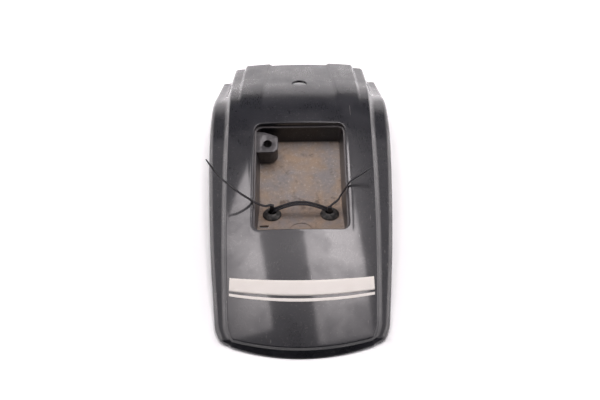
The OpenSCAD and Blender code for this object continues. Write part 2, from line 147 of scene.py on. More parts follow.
def corner_pull(s):
    """How far the sides draw in where they turn into the rear edge."""
    return CORNER_PULL * max(0.0, (s - BODY_LEN + CORNER_LEN) / CORNER_LEN) ** 2


def body_half(s):
    return (
        BODY_HALF
        - corner_pull(s)
        - FRONT_DRAW * max(0.0, 1 - s / KNEE_END) ** 2
        - REAR_DRAW * (max(0.0, s - BODY_END) / (BODY_LEN - BODY_END)) ** 2
    )


def channel_share(s):
    return (CHANNEL_HALF + CHANNEL_SPREAD * min(1.0, s / CHANNEL_END)) / BODY_HALF


def ramp_share(s):
    return channel_share(s) + RAMP_W / BODY_HALF


def crown(x, s):
    """Height of the body's outer face over the profile."""
    across = abs(x) / body_half(s)
    channel = 1 - smooth((s - CHANNEL_FADE) / (CHANNEL_END - CHANNEL_FADE))
    step = 1 - smooth((s - STEP_FADE) / (STEP_FADE_END - STEP_FADE))
    ramp = smooth((across - channel_share(s)) / (ramp_share(s) - channel_share(s)))
    drop = smooth((across - RIB_OUTER) / (STEP_END - RIB_OUTER))
    return -x * x / (2 * CROWN_R) - CHANNEL_DEPTH * channel * (1 - ramp) - RIB_STEP * step * drop


def bowed(s, x):
    """The rows bow towards the rear, as the rear edge does."""
    return s - smooth((s - BOW_START) / (BODY_LEN - BOW_START)) * x * x / (2 * BOW_R)


print("body is", 2 * body_half(0), "to", 2 * BODY_HALF, "mm wide")

# %% [markdown]
# Outside the body, the shell turns down, runs out as a brim and rolls over at its
# edge. That section is three bends joined by straights. It is tall at the front and
# almost flat at the rear, where the same kind of section forms the rear lip.

# %% Section of the brims and of the rear lip
BEND_STEPS, WALL_STEPS, BRIM_STEPS = 6, 4, 5
EDGE_STEPS = 3 * BEND_STEPS + WALL_STEPS + BRIM_STEPS


def mix(a, b, w):
    """The value that lies a share w of the way from a to b."""
    return a + (b - a) * w


def brim_section(width, height, wall_a, brim_a, roll_a, top_r, foot_r, roll_r):
    """Points (outwards, down) from the edge of the body to the edge of the brim."""
    points = [(0.0, 0.0)]

    def bend(radius, start, end):
        x, z = points[-1]
        for i in range(1, BEND_STEPS + 1):
            a = mix(start, end, i / BEND_STEPS)
            right, down = math.sin(a) - math.sin(start), math.cos(start) - math.cos(a)
            points.append((x + radius * right, z + radius * down))

    def straight(length, angle, steps):
        x, z = points[-1]
        for i in range(1, steps + 1):
            d = length * i / steps
            points.append((x + d * math.cos(angle), z + d * math.sin(angle)))

    wall_a, brim_a, roll_a = (math.radians(a) for a in (wall_a, brim_a, roll_a))
    bend(top_r, 0, wall_a)
    foot_drop = foot_r * (math.cos(brim_a) - math.cos(wall_a))
    straight(max(0.3, (height - points[-1][1] - foot_drop) / math.sin(wall_a)), wall_a, WALL_STEPS)
    bend(-foot_r, wall_a, brim_a)
    roll_width = roll_r * (math.sin(roll_a) - math.sin(brim_a))
    straight(max(0.5, (width - points[-1][0] - roll_width) / math.cos(brim_a)), brim_a, BRIM_STEPS)
    bend(roll_r, brim_a, roll_a)
    return points


# Height, then the angles of wall, brim and roll, then the radii of top, foot and roll.
SIDE_FRONT = (19.7, 70, 2, 34, 5, 5.5, 4.5)
SIDE_REAR = (4.4, 50, 14, 72, 2.5, 9, 7)
LIP_SHAPE = (3.2, 50, 34, 66, 1.4, 2, 3)
LIP_MID_W, LIP_END_W = 11, 8
BRIM_HALF, BRIM_FRONT_DRAW, BRIM_REAR_DRAW = 109, 7, 17
BRIM_WIDEST = KNEE_END + 38


def brim_half(s):
    if s < BRIM_WIDEST:
        return BRIM_HALF - BRIM_FRONT_DRAW * (1 - s / BRIM_WIDEST) ** 2
    behind = (s - BRIM_WIDEST) / (BODY_LEN - BRIM_WIDEST)
    return BRIM_HALF - BRIM_REAR_DRAW * behind**1.5 - corner_pull(s)


def side_section(s):
    g = smooth(s / BODY_END)
    return brim_section(brim_half(s) - body_half(s), *(mix(a, b, g) for a, b in zip(SIDE_FRONT, SIDE_REAR)))


def lip_section(x):
    f = min(1.0, abs(x) / body_half(BODY_LEN))
    return brim_section(mix(LIP_MID_W, LIP_END_W, f * f), *LIP_SHAPE)


print("points in a section:", EDGE_STEPS + 1)

# %% [markdown]
# The skin is one grid of squares laid over the body, the brims and the rear lip.
# The operator makes the grid, and each of its points is then moved to its place on
# the shell. At the rear corners the side section turns into the lip's section.

# %% Points of the skin
BODY_STEPS = (14, 6, 8, 6, 6)
BODY_COLS = sum(BODY_STEPS)
HALF_COLS = BODY_COLS + EDGE_STEPS
ROW_STEP = 2.5
ROW_PLACES = [min(BODY_LEN, ROW_STEP * i) for i in range(math.ceil(BODY_LEN / ROW_STEP) + 1)]
BODY_ROWS = len(ROW_PLACES) - 1
ALL_ROWS = BODY_ROWS + EDGE_STEPS
CORNER_CUT = 0.28


def share_at(s, column):
    """How far across the body a column runs, as a share of its half width."""
    marks = [0, channel_share(s), ramp_share(s), RIB_OUTER, STEP_END, 1.0]
    for number, steps in enumerate(BODY_STEPS):
        if column <= steps:
            return mix(marks[number], marks[number + 1], column / steps)
        column -= steps
    return 1.0


def on_skin(x, s, out=0.0, down=0.0):
    """A point of the outer face, or out and down from it at the body's edge."""
    back = bowed(s, x)
    return on_profile(x + out, back, crown(x, back) - down)


def side_point(row, column):
    s = ROW_PLACES[row]
    if column < BODY_COLS:
        return on_skin(share_at(s, column) * body_half(s), s)
    out, down = side_sections[row][column - BODY_COLS]
    return on_skin(body_half(s), s, out, down)


def lip_point(step, column):
    s = BODY_LEN
    x = share_at(s, column) * body_half(s)
    out, down = lip_section(x)[step]
    tilt = math.asin(x / BOW_R)
    back = bowed(s, x)
    return on_profile(x + out * math.sin(tilt), back + out * math.cos(tilt), crown(x, back) - down)


def corner_point(step, column):
    s, x = BODY_LEN, body_half(BODY_LEN)
    ring = max(step, column)
    whole = math.pi / 2 - math.asin(x / BOW_R)
    w = 0 if ring == 0 else 0.5 * step / column if column >= step else 1 - 0.5 * column / step
    side, lip = side_sections[-1][ring], lip_section(x)[ring]
    out, down = (mix(a, b, smooth(w)) for a, b in zip(side, lip))
    out *= 1 - CORNER_CUT * math.sin(math.pi * w)
    back = bowed(s, x)
    turn = whole * w
    return on_profile(x + out * math.cos(turn), back + out * math.sin(turn), crown(x, back) - down)


def skin_point(row, column):
    if row <= BODY_ROWS:
        return side_point(row, column)
    if column < BODY_COLS:
        return lip_point(row - BODY_ROWS, column)
    return corner_point(row - BODY_ROWS, column - BODY_COLS)


side_sections = [side_section(s) for s in ROW_PLACES]
shell = bmesh.new()
bmesh.ops.create_grid(shell, x_segments=2 * HALF_COLS, y_segments=ALL_ROWS, size=1)
half_skin = [[skin_point(r, c) for c in range(HALF_COLS + 1)] for r in range(ALL_ROWS + 1)]
cell_of = {}
for vert in shell.verts:
    column = round(vert.co.x * HALF_COLS)
    row = round((1 - vert.co.y) / 2 * ALL_ROWS)
    cell_of[vert] = (row, column)
    x, y, z = half_skin[row][abs(column)]
    vert.co = (math.copysign(x, column), y, z)
print("skin:", len(shell.verts), "points,", len(shell.faces), "squares")

# %% [markdown]
# The lamp recess and the deck hole are openings in that grid. A block of squares is
# taken out, and the edge round the gap is extruded ring by ring: first to the rounded
# outline of the opening, then down into it. Rings keep the shading smooth, which a
# glossy part needs, where a Boolean would leave long thin triangles.

# %% Frame of the recess
RECESS_S, RECESS_W, RECESS_LEN, RECESS_R = 227, 108, 146, 9
LEDGE_DEPTH, LEDGE_W, FLOOR_DEPTH, DRAFT = 9, 2.2, 35.5, 3.6
SHELF_LEN, SHELF_SLOPE = 44, math.radians(17)
recess_y, recess_z, recess_slope = walk(RECESS_S)
FOLD_Y = -(RECESS_LEN - 2 * LEDGE_W) / 2 + DRAFT * 0.7 + SHELF_LEN * math.cos(SHELF_SLOPE)


def in_recess(x, y, z):
    """From mm in the recess, with z square to the mouth, to the lying shell."""
    c, s = math.cos(recess_slope), math.sin(recess_slope)
    return lay(x, recess_y + y * c - z * s, recess_z + y * s + z * c)


def skin_over(x, y):
    """Height of the skin over a place in the recess's frame, and its s."""
    c, sn = math.cos(recess_slope), math.sin(recess_slope)
    s = RECESS_S - y
    # Each round corrects s until the skin's point lies over the asked y.
    for _ in range(4):
        py, pz, slope = walk(s)
        n = crown(x, s)
        dy, dz = py - n * math.sin(slope) - recess_y, pz + n * math.cos(slope) - recess_z
        s += dy * c + dz * sn - y
    return dz * c - dy * sn, s


def floor_at(y):
    return -FLOOR_DEPTH + max(0.0, FOLD_Y - y) * math.tan(SHELF_SLOPE)


print("skin over the mouth's middle", round(skin_over(0, 0)[0], 3), "mm")

# %% [markdown]
# Each gap is a block of whole squares, a little wider than the opening that goes there.
# A ring is kept as its points with a key for each, so that the same few lines can carry
# a ring to wherever a formula puts the key.

# %% Cut the gaps and extrude rings
GAP_MARGIN, MOUTH_COLS = 6, BODY_STEPS[0] + BODY_STEPS[1] + 3
HOLE_S, HOLE_GAP, HOLE_COLS = 69, 15, 5


def rows_around(s, reach):
    return round((s - reach) / ROW_STEP), round((s + reach) / ROW_STEP)


def cut_gap(bm, rows, columns):
    """Takes out a block of squares. Returns its edge points with their cells."""
    inside = [
        face for face in bm.faces
        if all(rows[0] <= cell_of[v][0] <= rows[1] and abs(cell_of[v][1]) <= columns for v in face.verts)
    ]
    bmesh.ops.delete(bm, geom=inside, context="FACES")
    rim = {}
    for vert in bm.verts:
        row, column = cell_of[vert]
        if rows[0] <= row <= rows[1] and abs(column) <= columns:
            rim[vert] = (row, column)
    return rim


def open_edges(ring, face_counts=(1,)):
    """The ring's own edges that have this many faces, in the ring's order."""
    found = {}
    for vert in ring:
        for edge in vert.link_edges:
            if len(edge.link_faces) in face_counts and edge.other_vert(vert) in ring:
                found[edge] = True
    return list(found)


def extrude_ring(bm, ring, position):
    """Extrudes a closed ring of points. Each new point goes where position says."""
    made = bmesh.ops.extrude_edge_only(bm, edges=open_edges(ring, (0, 1)))["geom"]
    following = {}
    for vert in (g for g in made if isinstance(g, bmesh.types.BMVert)):
        old = next(e.other_vert(vert) for e in vert.link_edges if e.other_vert(vert) in ring)
        following[vert] = ring[old]
    for vert, key in following.items():
        vert.co = position(key)
    return following


mouth_rows = rows_around(RECESS_S, RECESS_LEN / 2 + GAP_MARGIN)
mouth_rim = cut_gap(shell, mouth_rows, MOUTH_COLS)
hole_rim = cut_gap(shell, rows_around(HOLE_S, HOLE_GAP), HOLE_COLS)
print("edge of the mouth:", len(mouth_rim), "points; of the deck hole:", len(hole_rim))

# %% [markdown]
# Every point of the gap's edge gets its own place on the rounded outline of the mouth.
# The outline can then be shrunk or grown by any distance, because each point also
# knows which way is outwards. Fillets are short runs of rings on a quarter circle. One
# point on each side is moved onto the line where the floor and the sloping shelf meet.

# %% Outline of the mouth


def outline_place(row, column):
    """(x, y) on the rounded outline of the mouth, and the way outwards there."""
    half_w, half_l = RECESS_W / 2, RECESS_LEN / 2
    v = 1 - 2 * (row - mouth_rows[0]) / (mouth_rows[1] - mouth_rows[0])
    last = max(c for r, c in mouth_rim.values())
    s = ROW_PLACES[row]
    u = math.copysign(share_at(s, abs(column)) / share_at(s, last), column) if column else 0.0
    x, y = u * half_w, v * half_l
    over_x, over_y = abs(x) - (half_w - RECESS_R), abs(y) - (half_l - RECESS_R)
    sx, sy = math.copysign(1, x), math.copysign(1, y)
    if over_x > 0 and over_y > 0:
        on_side = abs(column) == last
        angle = math.radians(45 * over_y / RECESS_R if on_side else 90 - 45 * over_x / RECESS_R)
        nx, ny = sx * math.cos(angle), sy * math.sin(angle)
        corner = (sx * (half_w - RECESS_R), sy * (half_l - RECESS_R))
        return corner[0] + nx * RECESS_R, corner[1] + ny * RECESS_R, nx, ny
    if abs(column) == last:
        return x, y, sx, 0.0
    return x, y, 0.0, sy


mouth = {vert: outline_place(*cell) for vert, cell in mouth_rim.items()}
moved = []
for side in (-1, 1):
    on_side = [(abs(p[1] - FOLD_Y), v.index, v) for v, p in mouth.items() if p[0] * side > 0 and p[2]]
    gap, index, vert = min(on_side)
    x, y, nx, ny = mouth[vert]
    mouth[vert] = (x, FOLD_Y, nx, ny)
    moved.append(round(gap, 2))
print("fold points moved by", moved, "mm")

# %% [markdown]
# The recess is let in like a drawer: a small round rim, a straight drop to a ledge that
# carries the lamp, then walls that lean inwards, so that the moulding comes out of its
# tool, and a round foot.

# %% Rim, ledge and walls of the recess
RIM_R, INNER_R, LEDGE_EDGE_R, FLOOR_R = 1.3, 0.9, 0.6, 2.0
RIM_FLAT, HALFWAY, FOOT_STEPS = 1.6, 0.6, 5


def off_outline(place, off, z):
    x, y, nx, ny = place
    return in_recess(x + nx * off, y + ny * off, z)


def on_rim(place, off, below=0.0):
    x, y, nx, ny = place
    height = skin_over(x + nx * RIM_R, y + ny * RIM_R)[0]
    return in_recess(x + nx * off, y + ny * off, height - below)


def wall_off(z):
    """How far the deep wall stands inside the mouth at this depth."""
    return -LEDGE_W - DRAFT * (-LEDGE_DEPTH - z) / (FLOOR_DEPTH - LEDGE_DEPTH)


def wall_foot(place):
    """Where the deep wall meets the floor or the shelf: off and z."""
    off = -LEDGE_W - DRAFT
    # On the shelf the depth depends on the place and the place on the depth.
    for _ in range(3):
        z = floor_at(place[1] + place[3] * off)
        off = wall_off(z)
    return off, z


quarter = [math.radians(90 * i / 4) for i in range(1, 5)]
halfway = {}
for vert, place in mouth.items():
    target = on_rim(place, RIM_R + RIM_FLAT)
    halfway[place] = vert.co.lerp(target, HALFWAY)
ring = extrude_ring(shell, mouth, lambda p: halfway[p])
ring = extrude_ring(shell, ring, lambda p: on_rim(p, RIM_R))
for a in quarter:
    off, below = RIM_R * (1 - math.sin(a)), RIM_R * (1 - math.cos(a))
    ring = extrude_ring(shell, ring, lambda p, off=off, below=below: on_rim(p, off, below))
ring = extrude_ring(shell, ring, lambda p: off_outline(p, 0, -LEDGE_DEPTH + INNER_R))
for a in quarter:
    off, z = -INNER_R * (1 - math.cos(a)), -LEDGE_DEPTH + INNER_R * (1 - math.sin(a))
    ring = extrude_ring(shell, ring, lambda p, off=off, z=z: off_outline(p, off, z))
for a in [0.0] + quarter:
    off, z = -LEDGE_W + LEDGE_EDGE_R * (1 - math.sin(a)), -LEDGE_DEPTH - LEDGE_EDGE_R * (1 - math.cos(a))
    ring = extrude_ring(shell, ring, lambda p, off=off, z=z: off_outline(p, off, z))


def down_wall(place, share):
    off, foot = wall_foot(place)
    z = mix(-LEDGE_DEPTH - LEDGE_EDGE_R, foot + FLOOR_R, share)
    return off_outline(place, wall_off(z), z)


for share in (0.33, 0.66, 1.0):
    ring = extrude_ring(shell, ring, lambda p, share=share: down_wall(p, share))


def round_foot(place, t):
    """A round corner between the wall and the floor, on a quadratic curve."""
    off, foot = wall_foot(place)
    inner = off - FLOOR_R
    x, y, nx, ny = place
    z = (foot + FLOOR_R, foot, floor_at(y + ny * inner))
    o = (wall_off(z[0]), off, inner)
    w = ((1 - t) ** 2, 2 * t * (1 - t), t * t)
    return off_outline(place, sum(a * b for a, b in zip(w, o)), sum(a * b for a, b in zip(w, z)))


for step in range(1, FOOT_STEPS + 1):
    ring = extrude_ring(shell, ring, lambda p, t=step / FOOT_STEPS: round_foot(p, t))
print("recess walls done,", len(shell.faces), "faces so far")

# %% [markdown]
# The floor and the shelf are two flat sheets that meet at a fold. The drain slot, the
# two bush holes and the hollow under the screw boss go through them. A triangle fill
# between the outer loop and the small loops leaves those holes open.

# %% Floor and shelf
CIRCLE_STEPS, ARCH_STEPS = 40, 24
BUSH_X, BUSH_BACK, NECK_D = 33.3, 12, 14
BOSS_X, BOSS_Y, CORE_R = 38.5, 48, 6
DRAIN_X, DRAIN_W, DRAIN_BACK, DRAIN_LEN = 42.1, 10.2, 31.5, 4.5
ARCH_R, ARCH_BACK, ARCH_END, ARCH_DEPTH = 14, 25.3, 40, 1.2


def on_shelf(x, forward, up):
    """From mm on the shelf, counted from its fold, to the lying shell."""
    c, s = math.cos(SHELF_SLOPE), math.sin(SHELF_SLOPE)
    return in_recess(x, FOLD_Y + forward * c + up * s, -FLOOR_DEPTH - forward * s + up * c)


def loop_through(bm, points):
    """A closed loop of new edges through these points."""
    verts = [bm.verts.new(p) for p in points]
    return [bm.edges.new((a, b)) for a, b in zip(verts, verts[1:] + verts[:1])]


def tube_ring(bm, points):
    """The points of such a loop, in order."""
    return [edge.verts[0] for edge in loop_through(bm, points)]


def circle_points(radius, position):
    turns = [2 * math.pi * i / CIRCLE_STEPS for i in range(CIRCLE_STEPS)]
    return [position(radius * math.cos(turn), radius * math.sin(turn)) for turn in turns]


def boss_circle(radius, z):
    """A circle round the axis of the screw boss."""
    return circle_points(radius, lambda a, b: in_recess(-BOSS_X + a, BOSS_Y + b, z))


fold_verts = sorted((v for v, p in ring.items() if abs(p[1] - FOLD_Y) < 1e-6), key=lambda v: v.co.x)
fold_edge = shell.edges.new(fold_verts)
fold_edge.smooth = False
loop_edges = open_edges(ring)
front_edges = [e for e in loop_edges if sum(ring[v][1] for v in e.verts) / 2 > FOLD_Y]
rear_edges = [e for e in loop_edges if e not in front_edges]
core_loop = loop_through(shell, boss_circle(CORE_R, -FLOOR_DEPTH))
floor_made = bmesh.ops.triangle_fill(
    shell, use_beauty=True, use_dissolve=False, edges=front_edges + [fold_edge] + core_loop
)
holes = []
for x in (-BUSH_X, BUSH_X):
    neck = circle_points(NECK_D / 2, lambda a, b, x=x: on_shelf(x + a, -BUSH_BACK + b, 0))
    holes += loop_through(shell, neck)
slot_corners = [(-1, -1), (1, -1), (1, 1), (-1, 1)]
holes += loop_through(
    shell, [on_shelf(-DRAIN_X + a * DRAIN_W / 2, -DRAIN_BACK + b * DRAIN_LEN / 2, 0) for a, b in slot_corners]
)
arch_turns = [math.pi * i / ARCH_STEPS for i in range(ARCH_STEPS + 1)]
arch_outline = [(ARCH_R * math.cos(t), -ARCH_BACK - ARCH_R + ARCH_R * math.sin(t)) for t in arch_turns]
arch_outline += [(-ARCH_R, -ARCH_END), (ARCH_R, -ARCH_END)]
arch_loop = loop_through(shell, [on_shelf(a, b, 0) for a, b in arch_outline])
arch_ring = dict(zip([edge.verts[0] for edge in arch_loop], arch_outline))
shelf_made = bmesh.ops.triangle_fill(
    shell, use_beauty=True, use_dissolve=False, edges=rear_edges + [fold_edge] + holes + arch_loop
)
arch_mid = -(ARCH_BACK + ARCH_END) / 2
for share, depth in ((0.98, 0.2), (0.95, ARCH_DEPTH - 0.2), (0.93, ARCH_DEPTH)):
    arch_ring = extrude_ring(
        shell, arch_ring,
        lambda p, share=share, depth=depth: on_shelf(p[0] * share, mix(arch_mid, p[1], share), -depth),
    )
bmesh.ops.triangle_fill(shell, use_beauty=True, use_dissolve=False, edges=open_edges(arch_ring))
print("floor faces", len(floor_made["geom"]), "shelf faces", len(shelf_made["geom"]))

# %% [markdown]
# The hole in the deck takes a bolt. Its square gap closes towards the circle in four
# rings, each a little rounder than the last, so the shading round it stays even.

# %% Deck hole
HOLE_R = 9.5


def hole_place(cell, share):
    """From the squares round the hole (share 0) to its circle (share 1)."""
    row, column = cell
    s = ROW_PLACES[row]
    x = math.copysign(share_at(s, abs(column)) * body_half(s), column) if column else 0.0
    along = s - HOLE_S
    far = math.hypot(x, along)
    return on_skin(mix(x, x / far * HOLE_R, share), HOLE_S + mix(along, along / far * HOLE_R, share))


ring = hole_rim
for share in (0.35, 0.65, 0.88, 1.0):
    ring = extrude_ring(shell, ring, lambda c, share=share: hole_place(c, share))
bmesh.ops.recalc_face_normals(shell, faces=shell.faces)
print("shell surface:", len(shell.faces), "faces, boundary edges:", sum(e.is_boundary for e in shell.edges))

# %% [markdown]
# So far the shell is a skin without thickness. A Solidify modifier adds the 3 mm of
# plastic on the inside, and a Bevel rounds the moulding's open edges, because a real
# edge always catches a thin line of light. Both stay live, so a learner can turn
# them off and look at the skin alone.

# %% Skin to object
WALL, EDGE_WIDTH = 3.0, 0.5


def make_piece(name, bm, sharp=40):
    """A smooth-shaded object from a bmesh, with its place kept in the mesh."""
    for face in bm.faces:
        face.smooth = True
    for edge in bm.edges:
        if edge.calc_face_angle(0) > math.radians(sharp):
            edge.smooth = False
    mesh = bpy.data.meshes.new(name)
    bm.to_mesh(mesh)
    bm.free()
    piece = bpy.data.objects.new(name, mesh)
    scene.collection.objects.link(piece)
    return piece


highest = max(shell.faces, key=lambda f: f.calc_center_median().z)
if highest.normal.z < 0:
    bmesh.ops.reverse_faces(shell, faces=shell.faces)
fender_shell = make_piece("fender_shell", shell)
thick = fender_shell.modifiers.new("wall", "SOLIDIFY")
thick.thickness = WALL * MM
thick.offset = -1
thick.use_even_offset = True
thick.use_rim = True
edge = fender_shell.modifiers.new("edge", "BEVEL")
edge.width = EDGE_WIDTH * MM
edge.segments = 2
edge.limit_method = "ANGLE"
edge.angle_limit = math.radians(50)
edge.use_clamp_overlap = True
even = fender_shell.modifiers.new("even", "WEIGHTED_NORMAL")
even.keep_sharp = True
print("shell box", [round(v * 1000, 1) for v in fender_shell.dimensions])

# %% [markdown]
# The screw boss in the corner of the recess is a short post, D-shaped because it
# runs into the side wall. It is hollow below, like every thick place in a moulding.
# A spun ring would not give the flat side, so its outline is extruded instead, and
# the bore is a second loop in the top face.

# %% Outlines of the screw boss
BOSS_D = 24
LEDGE_INNER_W = RECESS_W - 2 * LEDGE_W
PLATE_OUT, PLATE_CORNER, PLATE_FRONT, PLATE_SLANT = 0.5, 5, 17.5, 6.5
PLATE_ROUND, PLATE_MIDDLE = 2.2, Vector((-2, 1))
WALL_X = BOSS_X - LEDGE_INNER_W / 2 - 0.6


def column_outline(z):
    """The post seen from above: half a circle that runs into the side wall."""
    r = BOSS_D / 2
    turns = [math.pi * i / (CIRCLE_STEPS - 3) for i in range(CIRCLE_STEPS - 2)]
    half = [(r * math.sin(turn), r * math.cos(turn)) for turn in turns]
    return [in_recess(-BOSS_X + a, BOSS_Y + b, z) for a, b in half + [(WALL_X, -r), (WALL_X, r)]]


def rounded_corners(corners, radius, steps):
    """Walks round a polygon and swaps every corner for a small curve."""
    points = []
    for k, corner in enumerate(corners):
        here, before, after = (Vector(corners[(k + d) % len(corners)]) for d in (0, -1, 1))
        r = min(radius, (here - before).length / 2.2, (here - after).length / 2.2)
        a, b = here + (before - here).normalized() * r, here + (after - here).normalized() * r
        for i in range(steps + 1):
            t = i / steps
            points.append(a * (1 - t) ** 2 + here * 2 * t * (1 - t) + b * t * t)
    return points


plate_r = BOSS_D / 2 + PLATE_OUT
plate_corners = [
    (-PLATE_CORNER, PLATE_FRONT), (plate_r - 1, PLATE_FRONT - PLATE_SLANT),
    (plate_r, PLATE_FRONT - PLATE_SLANT - PLATE_CORNER), (plate_r, PLATE_CORNER - plate_r),
    (plate_r - PLATE_CORNER, -plate_r), (WALL_X, -plate_r), (WALL_X, PLATE_FRONT),
]
plate_points = rounded_corners(plate_corners, PLATE_ROUND, 5)


def plate_outline(inwards, z):
    points = []
    for p in plate_points:
        away = (p - PLATE_MIDDLE).normalized()
        points.append(in_recess(-BOSS_X + p.x - away.x * inwards, BOSS_Y + p.y - away.y * inwards, z))
    return points


print("outline of the plate:", len(plate_points), "points")

# %% [markdown]
# The boss has two parts in one mesh: a plate on top, whose edge is rounded by a few
# rings, and the post under it. The bore runs down through the plate and widens into
# the hollow, and triangle fills close the plate and the foot round it.

# %% Shape the screw boss
BOSS_BORE_D, BOSS_DROP = 10, 0.6
TOP, HOLLOW_R = -LEDGE_DEPTH - BOSS_DROP, CORE_R + 0.3
boss = bmesh.new()
outer = tube_ring(boss, plate_outline(0.9, TOP))
bore = tube_ring(boss, boss_circle(BOSS_BORE_D / 2 + 0.5, TOP))
bmesh.ops.triangle_fill(boss, use_beauty=True, use_dissolve=False, edges=boss.edges[:])
outer_ring = {v: i for i, v in enumerate(outer)}
bore_ring = {v: i for i, v in enumerate(bore)}
plate_edge = ((0.35, 0.12), (0.08, 0.45), (0.0, 1.0), (0.0, WALL - 0.3), (0.3, WALL))
for inwards, below in plate_edge:
    points = plate_outline(inwards, TOP - below)
    outer_ring = extrude_ring(boss, outer_ring, lambda i, points=points: points[i])
plate_under = open_edges(outer_ring)
under_bore = loop_through(boss, boss_circle(HOLLOW_R, TOP - WALL))
bmesh.ops.triangle_fill(boss, use_beauty=True, use_dissolve=False, edges=plate_under + under_bore)
post_ring = {v: i for i, v in enumerate(tube_ring(boss, column_outline(TOP - WALL + 0.1)))}
for z in (TOP - 12, -FLOOR_DEPTH - 0.4):
    points = column_outline(z)
    post_ring = extrude_ring(boss, post_ring, lambda i, points=points: points[i])
bore_r, foot = BOSS_BORE_D / 2, -FLOOR_DEPTH - WALL / 2
bore_steps = (
    (bore_r + 0.15, TOP - 0.15), (bore_r, TOP - 0.5), (bore_r, TOP - WALL),
    (HOLLOW_R, TOP - WALL), (HOLLOW_R, foot),
)
for r, z in bore_steps:
    points = boss_circle(r, z)
    bore_ring = extrude_ring(boss, bore_ring, lambda i, points=points: points[i])
points = column_outline(foot)
post_ring = extrude_ring(boss, post_ring, lambda i, points=points: points[i])
bottom_edges = open_edges(post_ring) + open_edges(bore_ring)
bmesh.ops.triangle_fill(boss, use_beauty=True, use_dissolve=False, edges=bottom_edges)
bmesh.ops.recalc_face_normals(boss, faces=boss.faces)
fender_boss = make_piece("fender_boss", boss)
print("boss:", len(fender_boss.data.polygons), "faces")

# %% [markdown]
# The two bushes are turned shapes, so a profile is drawn once and spun round its
# axis. The real ones are pushed through the shelf, with a domed flange above and a
# lip below that snaps behind it.

# %% Rubber bushes
FLANGE_D, BORE_D, DOME_H, GAP, LIP_H = 21.6, 8.6, 5.6, 0.15, 2.6
FLANGE_R, BORE_R, NECK_R = FLANGE_D / 2, BORE_D / 2, NECK_D / 2
UNDER_SHELF = -WALL - GAP
# Half a section through a bush, as (radius, height over the shelf).
bush_profile = [
    (BORE_R, -6.0), (BORE_R, 0.0), (BORE_R, DOME_H - 0.9), (BORE_R + 0.25, DOME_H - 0.35),
    (BORE_R + 0.7, DOME_H - 0.05), (BORE_R + 1.3, DOME_H), (BORE_R + 2.2, DOME_H - 0.12),
    (FLANGE_R - 3.2, DOME_H - 1.0), (FLANGE_R - 2.0, DOME_H - 1.9), (FLANGE_R - 0.9, DOME_H - 3.1),
    (FLANGE_R - 0.25, 1.7), (FLANGE_R, 1.2), (FLANGE_R, 0.6), (FLANGE_R - 0.4, GAP),
    (NECK_R - GAP, GAP), (NECK_R - GAP, UNDER_SHELF), (NECK_R + 1.7, UNDER_SHELF),
    (NECK_R + 1.7, -WALL - 1.1), (NECK_R - 0.8, UNDER_SHELF - LIP_H), (BORE_R + 0.4, UNDER_SHELF - LIP_H),
]
bushes = []
for name, side in (("left", -1), ("right", 1)):
    bm = bmesh.new()
    loop_through(bm, [(r * MM, 0, h * MM) for r, h in bush_profile])
    bmesh.ops.spin(
        bm, geom=bm.verts[:] + bm.edges[:], cent=(0, 0, 0), axis=(0, 0, 1), dvec=(0, 0, 0),
        angle=2 * math.pi, steps=64, use_merge=True, use_normal_flip=False, use_duplicate=False,
    )
    for vert in bm.verts:
        x, y, h = (v / MM for v in vert.co)
        vert.co = on_shelf(side * BUSH_X + x, -BUSH_BACK + y, h)
    bmesh.ops.recalc_face_normals(bm, faces=bm.faces)
    bushes.append(make_piece(f"rubber_bush_{name}", bm, sharp=50))
print("bushes:", [len(b.data.polygons) for b in bushes], "faces each")

# %% [markdown]
# A nylon tie is a flat strap that follows a smooth curve: down through one bush,
# under the shelf, up through the other, over the top and through its own head. Its
# section is a rounded rectangle swept along the curve and turned to lie with its
# width sideways, which is how a stiff strap bends.

# %% Nylon ties
TIE_W, TIE_T, TIE_SIDE, TIE_CORNER = 3.0, 1.1, 2, 0.22
HEAD_H, HEAD_W, HEAD_D = 8, 5.2, 4.5
HEAD_Z = DOME_H + 0.2
LOOP_LOW, LOOP_RISE, LOOP_BEND = UNDER_SHELF - LIP_H - 2.8, 18.2, 3
# The right tie's loop, as (across, up) in mm over the shelf. The left one mirrors it.
loop_points = [
    (BUSH_X - 2, HEAD_Z + 2.8), (BUSH_X - 5.8, HEAD_Z + 4), (BUSH_X * 0.57, HEAD_Z + 7.8),
    (BUSH_X * 0.29, LOOP_RISE - 1.2), (0, LOOP_RISE), (-BUSH_X * 0.29, LOOP_RISE - 1.2),
    (-BUSH_X * 0.57, HEAD_Z + 7.8), (-BUSH_X + 5.3, HEAD_Z + 3.7), (-BUSH_X + 1.1, HEAD_Z + 0.4),
    (-BUSH_X, HEAD_Z - 2.8), (-BUSH_X, 0), (-BUSH_X, LOOP_LOW + LOOP_BEND), (-BUSH_X + 0.9, LOOP_LOW + 1),
    (-BUSH_X + LOOP_BEND, LOOP_LOW + 0.2), (-BUSH_X / 2, LOOP_LOW), (0, LOOP_LOW), (BUSH_X / 2, LOOP_LOW),
    (BUSH_X - LOOP_BEND, LOOP_LOW + 0.2), (BUSH_X - 0.9, LOOP_LOW + 1), (BUSH_X, LOOP_LOW + LOOP_BEND),
    (BUSH_X, 0), (BUSH_X, HEAD_Z),
]
